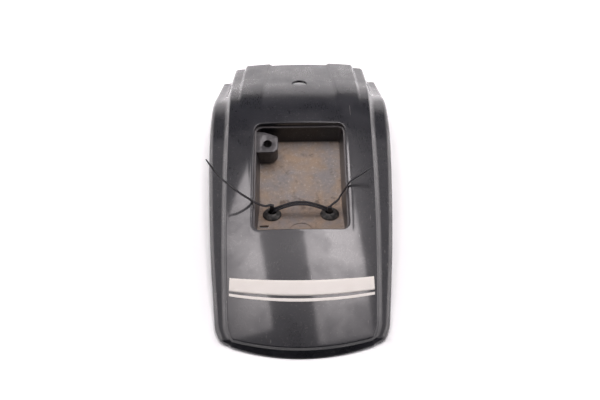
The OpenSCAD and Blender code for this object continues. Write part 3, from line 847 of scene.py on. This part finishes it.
# The free ends, as (across, forward, up) in mm on the shelf.
tails = {
    "right": [
        (42.6, -8.2, 18.7), (45.4, -6.2, 23.3), (50.9, -3.6, 31.8), (56.5, -0.8, 39.8),
        (62.1, 1.1, 44), (67, 2.5, 46.2), (74.2, 3.7, 51.8), (81.8, 4.2, 57.2),
    ],
    "left": [
        (-40.4, -15.4, 17.2), (-48, -19.3, 24), (-54.5, -21.6, 30.9), (-60.8, -23.2, 37.9),
        (-67.1, -25, 45.2), (-78.4, -26, 58.4), (-89.7, -25.3, 71.2), (-95.7, -23.6, 81.2),
        (-101.4, -23.4, 92.7),
    ],
}


def curve_through(points, steps):
    """A smooth curve through the points, the same one that the solid uses."""
    last = len(points) - 1
    out = []
    for i in range(last):
        a, b, c, d = (Vector(points[min(last, max(0, i + k))]) for k in (-1, 0, 1, 2))
        for k in range(steps):
            t = k / steps
            square, cube = 2 * a - 5 * b + 4 * c - d, 3 * b - 3 * c + d - a
            out.append((2 * b + (c - a) * t + square * t * t + cube * t**3) / 2)
    return out + [Vector(points[last])]


def strap_section(w, t, r):
    """Eight points of a rectangle with cut corners, width first."""
    upper = [(w, t - r), (w - r, t), (-w + r, t), (-w, t - r)]
    return upper + [(-a, -b) for a, b in upper]


ties = []
for name, side in (("left", -1), ("right", 1)):
    y = (TIE_SIDE if side < 0 else -TIE_SIDE) - BUSH_BACK
    loop = [(side * a, y, b) for a, b in loop_points] + [(side * BUSH_X, y, HEAD_Z + HEAD_H)]
    path = curve_through(loop + tails[name], 4)
    bm = bmesh.new()
    ring = None
    length = 0.0
    for i, p in enumerate(path):
        t = (path[min(i + 1, len(path) - 1)] - path[max(i - 1, 0)]).normalized()
        across = (Vector((0, 1, 0)) - t * t.y).normalized()
        normal = t.cross(across)
        ends = min(1.0, 0.55 + 0.12 * (len(path) - 1 - i))
        section = strap_section(TIE_W / 2 * ends, TIE_T / 2 * min(1.0, ends + 0.15), TIE_CORNER)
        points = [on_shelf(*(p + across * a + normal * b)) for a, b in section]
        if ring is None:
            first = tube_ring(bm, points)
            ring = {v: k for k, v in enumerate(first)}
        else:
            ring = extrude_ring(bm, ring, lambda k, points=points: points[k])
            length += (p - path[i - 1]).length
    for end in (list(ring), first):
        bmesh.ops.contextual_create(bm, geom=end + open_edges(end))
    head = bmesh.ops.create_cube(bm, size=1)["verts"]
    for vert in head:
        a, b, h = vert.co
        wide = 1.0 if h < 0 else 0.86
        vert.co = (side * BUSH_X + a * HEAD_W * wide, y + b * HEAD_D * wide, HEAD_Z + (h + 0.5) * HEAD_H)
    head_edges = list(dict.fromkeys(e for v in head for e in v.link_edges))
    made = bmesh.ops.bevel(
        bm, geom=head_edges, offset=0.7, offset_type="OFFSET", segments=3, profile=0.5,
        affect="EDGES", material=-1,
    )
    for vert in dict.fromkeys(v for f in made["faces"] for v in f.verts):
        vert.co = on_shelf(*vert.co)
    bmesh.ops.recalc_face_normals(bm, faces=bm.faces)
    ties.append(make_piece(f"nylon_tie_{name}", bm, sharp=35))
    print("tie", name, "is", round(length), "mm long with its loop")

# %% [markdown]
# Across the tail runs cut white vinyl: a plain wide bar and a thin line under it. Vinyl
# lies on the plastic as a film of its own, so it is a thin sheet bent to the same skin,
# a tenth of a millimetre above it.

# %% Vinyl strip
STRIP_BARS = ((361.5, 379.0), (382.0, 385.5))
STRIP_HALF_W = 78.0
FILM_LIFT, FILM_THICK = 0.12, 0.1


def vinyl_bar(first_s, last_s):
    bm = bmesh.new()
    bmesh.ops.create_grid(bm, x_segments=64, y_segments=8, size=1)
    for vert in bm.verts:
        s = mix(last_s, first_s, (vert.co.y + 1) / 2)
        x, y, z = on_skin(vert.co.x * STRIP_HALF_W, s)
        up = walk(s)[2] + PITCH
        vert.co = (x, y - FILM_LIFT * MM * math.sin(up), z + FILM_LIFT * MM * math.cos(up))
    if next(iter(bm.faces)).normal.z < 0:
        bmesh.ops.reverse_faces(bm, faces=bm.faces)
    return bm


strips = []
for number, (first_s, last_s) in enumerate(STRIP_BARS):
    strip = make_piece(f"vinyl_bar_{number + 1}", vinyl_bar(first_s, last_s))
    film = strip.modifiers.new("film", "SOLIDIFY")
    film.thickness = FILM_THICK * MM
    film.offset = 1
    strips.append(strip)
print("vinyl bars:", len(strips))

# %% [markdown]
# A few small helpers serve every finish. Colours are written as the hex values that a
# colour picker shows, and the shader wants linear light, so one function turns them.
# Another adds a node, sets its values and links its inputs in one line. Inputs go by
# name or by number. A Map Range node takes its value as 0, the range it comes from as
# 1 and 2, and the range it goes to as 3 and 4, which are 0 and 1 when left out. A Mix
# node takes its share as 0, two colours as 6 and 7, or two plain values as 2 and 3.
# A noise has a scale, not a size, so the last helper turns a real size into a scale.

# %% Helpers for materials
MATH, NOISE = "ShaderNodeMath", "ShaderNodeTexNoise"
RANGE, MIX = "ShaderNodeMapRange", "ShaderNodeMix"
EASED = {"interpolation_type": "SMOOTHSTEP"}
COLOURS = {"data_type": "RGBA"}


def colour(hex_value):
    """The linear colour of an sRGB hex value."""
    channels = [int(hex_value[i : i + 2], 16) / 255 for i in (1, 3, 5)]
    linear = [c / 12.92 if c <= 0.04045 else ((c + 0.055) / 1.055) ** 2.4 for c in channels]
    return (*linear, 1.0)


def add(tree, kind, inputs=None, **settings):
    """Adds a node. An input takes a value, a socket, or a node for its first live output."""
    node = tree.nodes.new(kind)
    for name, value in settings.items():
        setattr(node, name, value)
    for key, value in (inputs or {}).items():
        if isinstance(value, bpy.types.Node):
            value = next(socket for socket in value.outputs if socket.enabled)
        if isinstance(value, bpy.types.NodeSocket):
            tree.links.new(value, node.inputs[key])
        else:
            node.inputs[key].default_value = value
    return node


def new_material(name):
    """A material with its shader, and the object's own coordinates."""
    material = bpy.data.materials.new(name)
    material.use_nodes = True
    tree = material.node_tree
    shader = tree.nodes["Principled BSDF"]
    place = add(tree, "ShaderNodeTexCoord").outputs["Object"]
    return material, tree, shader, place


def per_metre(size_mm):
    """Noise scale for features of this real size."""
    return 1 / (size_mm * MM)


print("hex #808080 is", round(colour("#808080")[0], 3), "in linear light")

# %% [markdown]
# The shell's plastic is black moulded polypropylene that has been ridden. It mirrors
# its surroundings twice: once sharply, from the smooth skin, which is a coat here, and
# once as a wide haze, from countless hairline scratches, which is the rougher base.
# Smudges and fine fore-and-aft streaks vary both, and a faint waviness, as on any
# thin moulding, bends the edges of the mirrored lamps.

# %% Black shell plastic
shell_plastic, tree, shader, place = new_material("shell_plastic")
shader.inputs["IOR"].default_value = 1.5
shader.inputs["Coat Weight"].default_value = 1.0
shader.inputs["Coat IOR"].default_value = 1.5
shader.inputs["Coat Roughness"].default_value = 0.075
shader.inputs["Specular IOR Level"].default_value = 0.4

streaks = add(tree, "ShaderNodeMapping", {"Vector": place, "Scale": (1.0, 0.06, 1.0)})
fine = add(tree, NOISE, {"Vector": streaks, "Scale": per_metre(0.6), "Detail": 3.0})
smudge = add(tree, NOISE, {"Vector": place, "Scale": per_metre(34), "Detail": 5.0, "Roughness": 0.62})
speck = add(tree, NOISE, {"Vector": place, "Scale": per_metre(2.4), "Detail": 2.0})
wave = add(tree, NOISE, {"Vector": place, "Scale": per_metre(48), "Detail": 1.0})

smudge_share = add(tree, RANGE, {0: smudge, 1: 0.42, 2: 0.68})
rough = add(tree, RANGE, {0: smudge_share, 3: 0.3, 4: 0.46})
rough_fine = add(tree, RANGE, {0: fine, 1: 0.35, 2: 0.7, 3: -0.04, 4: 0.06})
rough_sum = add(tree, MATH, {0: rough, 1: rough_fine}, operation="ADD")

dusty = add(tree, RANGE, {0: wave, 1: 0.35, 2: 0.65, 3: 0.05, 4: 0.3})
dust_spots = add(tree, RANGE, {0: speck, 1: 0.6, 2: 0.72, 4: dusty})
black = add(tree, MIX, {0: smudge_share, 6: colour("#09090f"), 7: colour("#17171d")}, **COLOURS)
dusted = add(tree, MIX, {0: dust_spots, 6: black, 7: colour("#5a5857")}, **COLOURS)

relief = add(tree, MATH, {0: wave, 1: 0.55}, operation="MULTIPLY")
relief_fine = add(tree, MATH, {0: fine, 1: 0.006, 2: relief}, operation="MULTIPLY_ADD")
wiped = add(tree, "ShaderNodeMapping", {"Vector": place, "Scale": (0.05, 1.0, 1.0)})
wipes = add(tree, NOISE, {"Vector": wiped, "Scale": per_metre(1.1), "Detail": 3.0})
relief_wiped = add(tree, MATH, {0: wipes, 1: 0.012, 2: relief_fine}, operation="MULTIPLY_ADD")
bump = add(tree, "ShaderNodeBump", {"Strength": 0.35, "Distance": 0.4 * MM, "Height": relief_wiped})
tree.links.new(bump.outputs[0], shader.inputs["Normal"])
tree.links.new(bump.outputs[0], shader.inputs["Coat Normal"])
print("shell plastic has", len(tree.nodes), "nodes")

# %% [markdown]
# Road dust has settled in the lamp recess and dried there in brown and grey clouds.
# It lies thick on the floor and the shelf, thin on the steep walls, and nowhere else.
# A Mapping node turns the object's coordinates into millimetres in the recess, so the
# dust knows how high above the floor each point is.

# %% Where the dust lies
in_mm = add(
    tree, "ShaderNodeMapping",
    {
        "Vector": place, "Location": in_recess(0, 0, 0),
        "Rotation": (recess_slope + PITCH, 0, 0), "Scale": (MM, MM, MM),
    },
    vector_type="TEXTURE",
)
local = add(tree, "ShaderNodeSeparateXYZ", {0: in_mm}).outputs
across = add(tree, MATH, {0: local[0]}, operation="ABSOLUTE")
along = add(tree, MATH, {0: local[1]}, operation="ABSOLUTE")
in_width = add(tree, MATH, {0: across, 1: RECESS_W / 2 + 0.5}, operation="LESS_THAN")
in_length = add(tree, MATH, {0: along, 1: RECESS_LEN / 2 + 0.5}, operation="LESS_THAN")
inside = add(tree, MATH, {0: in_width, 1: in_length}, operation="MULTIPLY")
below_ledge = add(tree, RANGE, {0: local[2], 1: -LEDGE_DEPTH + 4, 2: -LEDGE_DEPTH + 0.5}, **EASED)

past_fold = add(tree, MATH, {0: FOLD_Y, 1: local[1]}, operation="SUBTRACT")
behind_fold = add(tree, MATH, {0: past_fold, 1: 0.0}, operation="MAXIMUM")
shelf_rise = add(tree, MATH, {0: behind_fold, 1: math.tan(SHELF_SLOPE)}, operation="MULTIPLY")
over_lowest = add(tree, MATH, {0: local[2], 1: FLOOR_DEPTH}, operation="ADD")
over_floor = add(tree, MATH, {0: over_lowest, 1: shelf_rise}, operation="SUBTRACT")
lying = add(tree, RANGE, {0: over_floor, 1: 3.5, 2: 0.4}, **EASED)
on_shelf_share = add(tree, RANGE, {0: local[1], 1: FOLD_Y + 4, 2: FOLD_Y - 2}, **EASED)
front = RECESS_LEN / 2
front_share = add(tree, RANGE, {0: local[1], 1: front - 12, 2: front - 5, 3: 1.0, 4: 0.12}, **EASED)

over_ledge = add(tree, MATH, {0: local[2], 1: LEDGE_DEPTH}, operation="ADD")
off_ledge = add(tree, MATH, {0: over_ledge}, operation="ABSOLUTE")
at_ledge = add(tree, RANGE, {0: off_ledge, 1: 0.9, 2: 0.3, 4: 0.5}, **EASED)
from_sides = add(tree, MATH, {0: across, 1: RECESS_W / 2 - LEDGE_W - 1}, operation="SUBTRACT")
from_ends = add(tree, MATH, {0: along, 1: RECESS_LEN / 2 - LEDGE_W - 1}, operation="SUBTRACT")
from_opening = add(tree, MATH, {0: from_sides, 1: from_ends}, operation="MAXIMUM")
past_opening = add(tree, RANGE, {0: from_opening, 1: 0.0, 2: 0.6}, **EASED)
on_ledge = add(tree, MATH, {0: at_ledge, 1: past_opening}, operation="MULTIPLY")
print("nodes with the places of the dust:", len(tree.nodes))

# %% [markdown]
# The dried dust has three sizes of pattern: clouds of 26 mm, stains of 11 mm and light
# grains of about 3 mm. Grit is finer than that, but finer grains would not show from
# here. Near the fold the stains grow denser and darker: partly real dirt, partly a
# painted shadow of the tie loops.

# %% Colour and thickness of the dust
clouds = add(tree, NOISE, {"Vector": place, "Scale": per_metre(26), "Detail": 6.0, "Roughness": 0.6})
grains = add(tree, NOISE, {"Vector": place, "Scale": per_metre(3.2), "Detail": 5.0, "Roughness": 0.7})
stains = add(tree, NOISE, {"Vector": place, "Scale": per_metre(11), "Detail": 5.0, "Roughness": 0.6})
cloudy = add(tree, RANGE, {0: clouds, 1: 0.32, 2: 0.7}, **EASED)
earth = add(tree, MIX, {0: cloudy, 6: colour("#928d8a"), 7: colour("#a7917b")}, **COLOURS)
grain_share = add(tree, RANGE, {0: grains, 1: 0.52, 2: 0.72, 4: 0.55}, **EASED)
grainy = add(tree, MIX, {0: grain_share, 6: earth, 7: colour("#cdc3b8")}, **COLOURS)

# Painted shadow of the tie loops mixed with real dirt: the stains grow denser along the fold.
from_fold = add(tree, MATH, {0: local[1], 1: FOLD_Y + 5}, operation="SUBTRACT")
off_fold = add(tree, MATH, {0: from_fold}, operation="ABSOLUTE")
fold_dirt_and_tie_shadow = add(tree, RANGE, {0: off_fold, 1: 14, 2: 2}, **EASED)
stain_and_shadow_value = add(tree, MATH, {0: fold_dirt_and_tie_shadow, 1: 0.12, 2: stains}, operation="MULTIPLY_ADD")
stain_and_shadow_share = add(tree, RANGE, {0: stain_and_shadow_value, 1: 0.54, 2: 0.78, 4: 0.75}, **EASED)
stained_and_shaded = add(tree, MIX, {0: stain_and_shadow_share, 6: grainy, 7: colour("#5b4e45")}, **COLOURS)
shelf_share = add(tree, MATH, {0: on_shelf_share, 1: 0.35}, operation="MULTIPLY")
shelf_tone = add(tree, MIX, {0: shelf_share, 6: stained_and_shaded, 7: colour("#5a4d45")}, **COLOURS)
dust_tone = add(tree, MIX, {0: lying, 6: colour("#6c6868"), 7: shelf_tone}, **COLOURS)

patchy = add(tree, RANGE, {0: stains, 1: 0.35, 2: 0.7, 3: 0.12, 4: 0.45}, **EASED)
patchy_front = add(tree, MATH, {0: patchy, 1: front_share}, operation="MULTIPLY")
on_walls = add(tree, MATH, {0: patchy_front, 1: below_ledge}, operation="MULTIPLY")
thin = add(tree, MATH, {0: on_walls, 1: on_ledge}, operation="MAXIMUM")
cover = add(tree, RANGE, {0: stains, 1: 0.3, 2: 0.5, 3: 0.82, 4: 0.97}, **EASED)
thick = add(tree, MATH, {0: lying, 1: cover}, operation="MULTIPLY")
thickest = add(tree, MATH, {0: thin, 1: thick}, operation="MAXIMUM")
dust = add(tree, MATH, {0: thickest, 1: inside}, operation="MULTIPLY")
covered = add(tree, MIX, {0: dust, 6: dusted, 7: dust_tone}, **COLOURS)
print("nodes with the dust:", len(tree.nodes))

# %% [markdown]
# Wiping and riding leave hairlines in two slanted directions, and they show only in
# the smudged patches. Dust and smudges also take the shine away: the base gets rougher
# under the dust, and the coat thinner.

# %% Hairlines, and the shine that is left
hairlines = []
for turn in (0.5, -0.9):
    slanted = add(
        tree, "ShaderNodeMapping", {"Vector": place, "Rotation": (0, 0, turn), "Scale": (1.0, 0.05, 0.4)}
    )
    hair = add(tree, NOISE, {"Vector": slanted, "Scale": per_metre(2.2), "Detail": 2.0})
    hairlines.append(add(tree, RANGE, {0: hair, 1: 0.73, 2: 0.78, 4: 0.5}, **EASED))
scratches = add(tree, MATH, {0: hairlines[0], 1: hairlines[1]}, operation="MAXIMUM")
in_smudges = add(tree, RANGE, {0: smudge, 1: 0.48, 2: 0.56}, **EASED)
scratched = add(tree, MATH, {0: scratches, 1: in_smudges}, operation="MULTIPLY")
marked = add(tree, MIX, {0: scratched, 6: covered, 7: colour("#8f8b88")}, **COLOURS)
tree.links.new(marked.outputs[2], shader.inputs["Base Color"])

dull = add(tree, MIX, {0: dust, 2: rough_sum, 3: 0.75})
tree.links.new(dull.outputs[0], shader.inputs["Roughness"])
worn_coat = add(tree, MATH, {0: smudge_share, 1: -0.35, 2: 1.0}, operation="MULTIPLY_ADD")
deep_inside = add(tree, MATH, {0: inside, 1: below_ledge}, operation="MULTIPLY")
dull_inside = add(tree, MATH, {0: deep_inside, 1: -0.6, 2: 1.0}, operation="MULTIPLY_ADD")
bare = add(tree, MATH, {0: 1.0, 1: dust}, operation="SUBTRACT")
clean = add(tree, MATH, {0: bare, 1: dull_inside}, operation="MULTIPLY")
coat = add(tree, MATH, {0: clean, 1: worn_coat}, operation="MULTIPLY")
tree.links.new(coat.outputs[0], shader.inputs["Coat Weight"])
print("the whole finish has", len(tree.nodes), "nodes")

# %% [markdown]
# The bushes are moulded rubber, which is nearly black and dull, with grey worn patches
# and a slight grain. The ties are extruded nylon, darker and with a soft shine. The
# bars are cut vinyl film, off-white with age. None of the three needs a coat.

# %% Rubber, nylon and vinyl
rubber, tree, shader, place = new_material("bush_rubber")
worn = add(tree, NOISE, {"Vector": place, "Scale": per_metre(3.5), "Detail": 4.0})
worn_share = add(tree, RANGE, {0: worn, 1: 0.4, 2: 0.7})
tone = add(tree, MIX, {0: worn_share, 6: colour("#242423"), 7: colour("#524f4b")}, **COLOURS)
tree.links.new(tone.outputs[2], shader.inputs["Base Color"])
shader.inputs["Roughness"].default_value = 0.55
grain = add(tree, "ShaderNodeBump", {"Strength": 0.4, "Distance": 0.15 * MM, "Height": worn})
tree.links.new(grain.outputs[0], shader.inputs["Normal"])

nylon, tree, shader, place = new_material("tie_nylon")
haze = add(tree, NOISE, {"Vector": place, "Scale": per_metre(6), "Detail": 3.0})
haze_tone = add(tree, MIX, {0: haze, 6: colour("#161618"), 7: colour("#252529")}, **COLOURS)
tree.links.new(haze_tone.outputs[2], shader.inputs["Base Color"])
shader.inputs["Roughness"].default_value = 0.38

vinyl, tree, shader, place = new_material("white_vinyl")
age = add(tree, NOISE, {"Vector": place, "Scale": per_metre(20), "Detail": 5.0})
age_tone = add(tree, MIX, {0: age, 6: colour("#f1ede6"), 7: colour("#e3ded5")}, **COLOURS)
tree.links.new(age_tone.outputs[2], shader.inputs["Base Color"])
shader.inputs["Roughness"].default_value = 0.4

for material, pieces in (
    (shell_plastic, (fender_shell, fender_boss)), (rubber, bushes), (nylon, ties), (vinyl, strips),
):
    for piece in pieces:
        piece.data.materials.append(material)
print("finishes given to", 2 + len(bushes) + len(ties) + len(strips), "pieces")

# %% [markdown]
# A glossy black part shows little but its surroundings, so they matter as much as its
# finish. It stands on a white table, with a white board behind it that folds forward
# at both sides. Sizes of the room are in metres.

# %% Table and board
TABLE_HALF, BOARD_STEPS = 12, 5
BOARD_CORNERS = (
    (-1.5, -0.8, 1.9), (-1.5, 1.2, 1.9), (-0.8, 1.6, 0.87),
    (0.8, 1.6, 0.87), (1.5, 1.2, 1.9), (1.5, -0.8, 1.9),
)
bm = bmesh.new()
bmesh.ops.create_grid(bm, x_segments=1, y_segments=1, size=TABLE_HALF)
table_top = make_piece("table_top", bm)
bm = bmesh.new()
bmesh.ops.create_grid(bm, x_segments=BOARD_STEPS, y_segments=1, size=0.5)
for vert in bm.verts:
    x, y, top = BOARD_CORNERS[round((vert.co.x + 0.5) * BOARD_STEPS)]
    vert.co = (x, y, (0.5 + vert.co.y) * top)
wall_board = make_piece("wall_board", bm)
print("board is", max(corner[2] for corner in BOARD_CORNERS), "m high at its sides")

# %% [markdown]
# Table and board share one white paint. The middle of the board turns dark towards
# its top, so that the deck mirrors no hard edge there. The white also glows a little
# for rays from the camera and in mirrors, which keeps the background white without
# more light on the object. That glow stops under the shell and where the floor lies
# in shadow.

# %% White paint
GLOW, SHADOW_REACH = 0.26, 0.1
UNDER_X, UNDER_Y = (0.08, 0.1), (0.18, 0.205)
DARK_FROM, DARK_TO = 0.45, 0.87
FOLD_FROM, FOLD_TO = 0.8, 1.2
white_paint, tree, shader, place = new_material("white_paint")
tree.nodes.remove(shader)
white_place = add(tree, "ShaderNodeSeparateXYZ", {0: place}).outputs
from_middle = add(tree, MATH, {0: white_place[0]}, operation="ABSOLUTE")
from_centre = add(tree, MATH, {0: white_place[1]}, operation="ABSOLUTE")
near_top = add(tree, RANGE, {0: white_place[2], 1: DARK_FROM, 2: DARK_TO, 4: 0.85}, **EASED)
middle_board = add(tree, RANGE, {0: from_middle, 1: FOLD_FROM, 2: FOLD_TO, 3: 1.0, 4: 0.0}, **EASED)
faded = add(tree, MATH, {0: near_top, 1: middle_board}, operation="MULTIPLY")
kept_white = add(tree, MATH, {0: 1.0, 1: faded}, operation="SUBTRACT")
beside = add(tree, RANGE, {0: from_middle, 1: UNDER_X[0], 2: UNDER_X[1]}, **EASED)
beyond = add(tree, RANGE, {0: from_centre, 1: UNDER_Y[0], 2: UNDER_Y[1]}, **EASED)
open_floor = add(tree, MATH, {0: beside, 1: beyond}, operation="MAXIMUM")
paint = add(tree, MIX, {0: faded, 6: colour("#f4f4f4"), 7: colour("#303032")}, **COLOURS)
diffuse = add(tree, "ShaderNodeBsdfDiffuse", {"Color": paint})

shelter = add(tree, "ShaderNodeAmbientOcclusion", {"Distance": SHADOW_REACH}).outputs["AO"]
sheltered = add(tree, RANGE, {0: shelter, 1: 0.3, 2: 0.75, 4: GLOW}, **EASED)
white_share = add(tree, MATH, {0: sheltered, 1: kept_white}, operation="MULTIPLY")
brightness = add(tree, MATH, {0: white_share, 1: open_floor}, operation="MULTIPLY")
glow = add(tree, "ShaderNodeEmission", {"Color": (1, 1, 1, 1), "Strength": brightness})
path = add(tree, "ShaderNodeLightPath").outputs
mirrored = add(tree, MATH, {0: path["Is Glossy Ray"], 1: path["Is Transmission Ray"]}, operation="MAXIMUM")
seen = add(tree, MATH, {0: path["Is Camera Ray"], 1: mirrored}, operation="MAXIMUM")
both = add(tree, "ShaderNodeAddShader", {0: diffuse, 1: glow})
pick = add(tree, "ShaderNodeMixShader", {0: seen, 1: diffuse, 2: both})
tree.links.new(pick.outputs[0], tree.nodes["Material Output"].inputs["Surface"])
for stage in (table_top, wall_board):
    stage.data.materials.append(white_paint)
print("white paint has", len(tree.nodes), "nodes")

# %% [markdown]
# Two long rectangular lamps hang above the object, with a dark gap between them, and their
# mirror images are the bright bands on the deck and on the tail. The left one has its
# far left corner cut off, which draws the slanted edge beside the recess. A dim lamp
# fills part of the gap. Two wide dim ones light the sides from above, and two standing
# ones beside the table are mirrored by the valleys of the brims.

# %% Lamps
LAMP_HEIGHT = 1.5
LAMP_TINT = (1.0, 0.935, 0.95)
LAMP_TURN = 9
WINDOW_X, WINDOW_Y, WINDOW_Z = 1.4, 0.45, 0.8


def softbox(name, x_range, y_range, radiance, turn=0, near_share=1.0, left_share=1.0, cut=0.0):
    """A lamp that faces down, dimmer near and left, its far left corner cut off."""
    (x0, x1), (y0, y1) = x_range, y_range
    light = bpy.data.lights.new(name, "AREA")
    light.shape = "RECTANGLE"
    light.size, light.size_y = x1 - x0, y1 - y0
    light.energy = radiance * math.pi * light.size * light.size_y
    light.color = LAMP_TINT
    light.use_nodes = True
    nodes = light.node_tree
    on_lamp = add(nodes, "ShaderNodeNewGeometry").outputs["Parametric"]
    part = add(nodes, "ShaderNodeSeparateXYZ", {0: on_lamp}).outputs
    near = add(nodes, RANGE, {0: part[1], 1: 0.0, 2: 0.4, 3: near_share}, **EASED)
    left = add(nodes, RANGE, {0: part[0], 1: 0.0, 2: 1.0, 3: left_share}, **EASED)
    graded = add(nodes, MATH, {0: near, 1: left}, operation="MULTIPLY")
    from_right = add(nodes, MATH, {0: 1.0, 1: part[0]}, operation="SUBTRACT")
    slant = add(nodes, MATH, {0: from_right, 1: cut, 2: part[1]}, operation="MULTIPLY_ADD")
    kept = add(nodes, MATH, {0: slant, 1: 1.0}, operation="LESS_THAN")
    share = add(nodes, MATH, {0: graded, 1: kept}, operation="MULTIPLY")
    nodes.links.new(share.outputs[0], nodes.nodes["Emission"].inputs["Strength"])
    lamp = bpy.data.objects.new(name, light)
    lamp.location = ((x0 + x1) / 2, (y0 + y1) / 2, LAMP_HEIGHT)
    lamp.rotation_euler.z = math.radians(turn)
    scene.collection.objects.link(lamp)
    return lamp


def side_window(name, side, radiance):
    """A standing lamp beside the table."""
    lamp = softbox(name, (-0.7, 0.7), (-0.95, 0.95), radiance)
    lamp.location = (side * WINDOW_X, WINDOW_Y, WINDOW_Z)
    lamp.rotation_euler = (0, side * math.pi / 2, 0)
    return lamp


lamps = [
    softbox("left_softbox", (-0.60, -0.28), (-0.24, 0.80), 7.6, LAMP_TURN, 0.5, 0.45, 0.5),
    softbox("right_softbox", (0.02, 0.41), (-0.27, 0.90), 8.0, LAMP_TURN, 0.35),
    softbox("middle_softbox", (-0.31, 0.05), (-0.12, 0.70), 0.6, LAMP_TURN, 0.4),
    softbox("left_sky", (-1.4, -0.66), (-0.7, 1.2), 0.45),
    softbox("right_sky", (0.66, 1.4), (-0.7, 1.2), 0.45),
    side_window("left_window", -1, 1.45),
    side_window("right_window", 1, 1.45),
]
print("lamps:", [round(lamp.data.energy, 1) for lamp in lamps], "W")

# %% [markdown]
# The rest of the room is a grey that is darker on the camera's side, because the tail
# mirrors that side and has to stay black.

# %% World
world = bpy.data.worlds.new("studio")
scene.world = world
world.use_nodes = True
background = world.node_tree.nodes["Background"]
background.inputs["Color"].default_value = colour("#73737d")
sky = add(world.node_tree, "ShaderNodeTexCoord").outputs["Generated"]
ahead = add(world.node_tree, "ShaderNodeSeparateXYZ", {0: sky}).outputs[1]
room = add(world.node_tree, RANGE, {0: ahead, 1: -0.7, 2: 0.2, 3: 0.3, 4: 1.0}, **EASED)
world.node_tree.links.new(room.outputs[0], background.inputs["Strength"])
scene.view_settings.view_transform = "Standard"
print("world colour", [round(c, 3) for c in background.inputs["Color"].default_value[:3]])

# %% [markdown]
# Last, every piece is tied to the part's one body, and the solids that the shell,
# the bushes and the ties stand for are hidden.

# %% Tie the pieces to the part
for piece in (fender_shell, fender_boss):
    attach(piece, "root")
    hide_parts("fender")
for piece, node in zip(bushes, ("bush_left", "bush_right")):
    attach(piece, "root")
    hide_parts(node)
for piece, node in zip(ties, ("tie_left", "tie_right")):
    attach(piece, "root")
    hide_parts(node)
for piece in strips:
    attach(piece, "root")
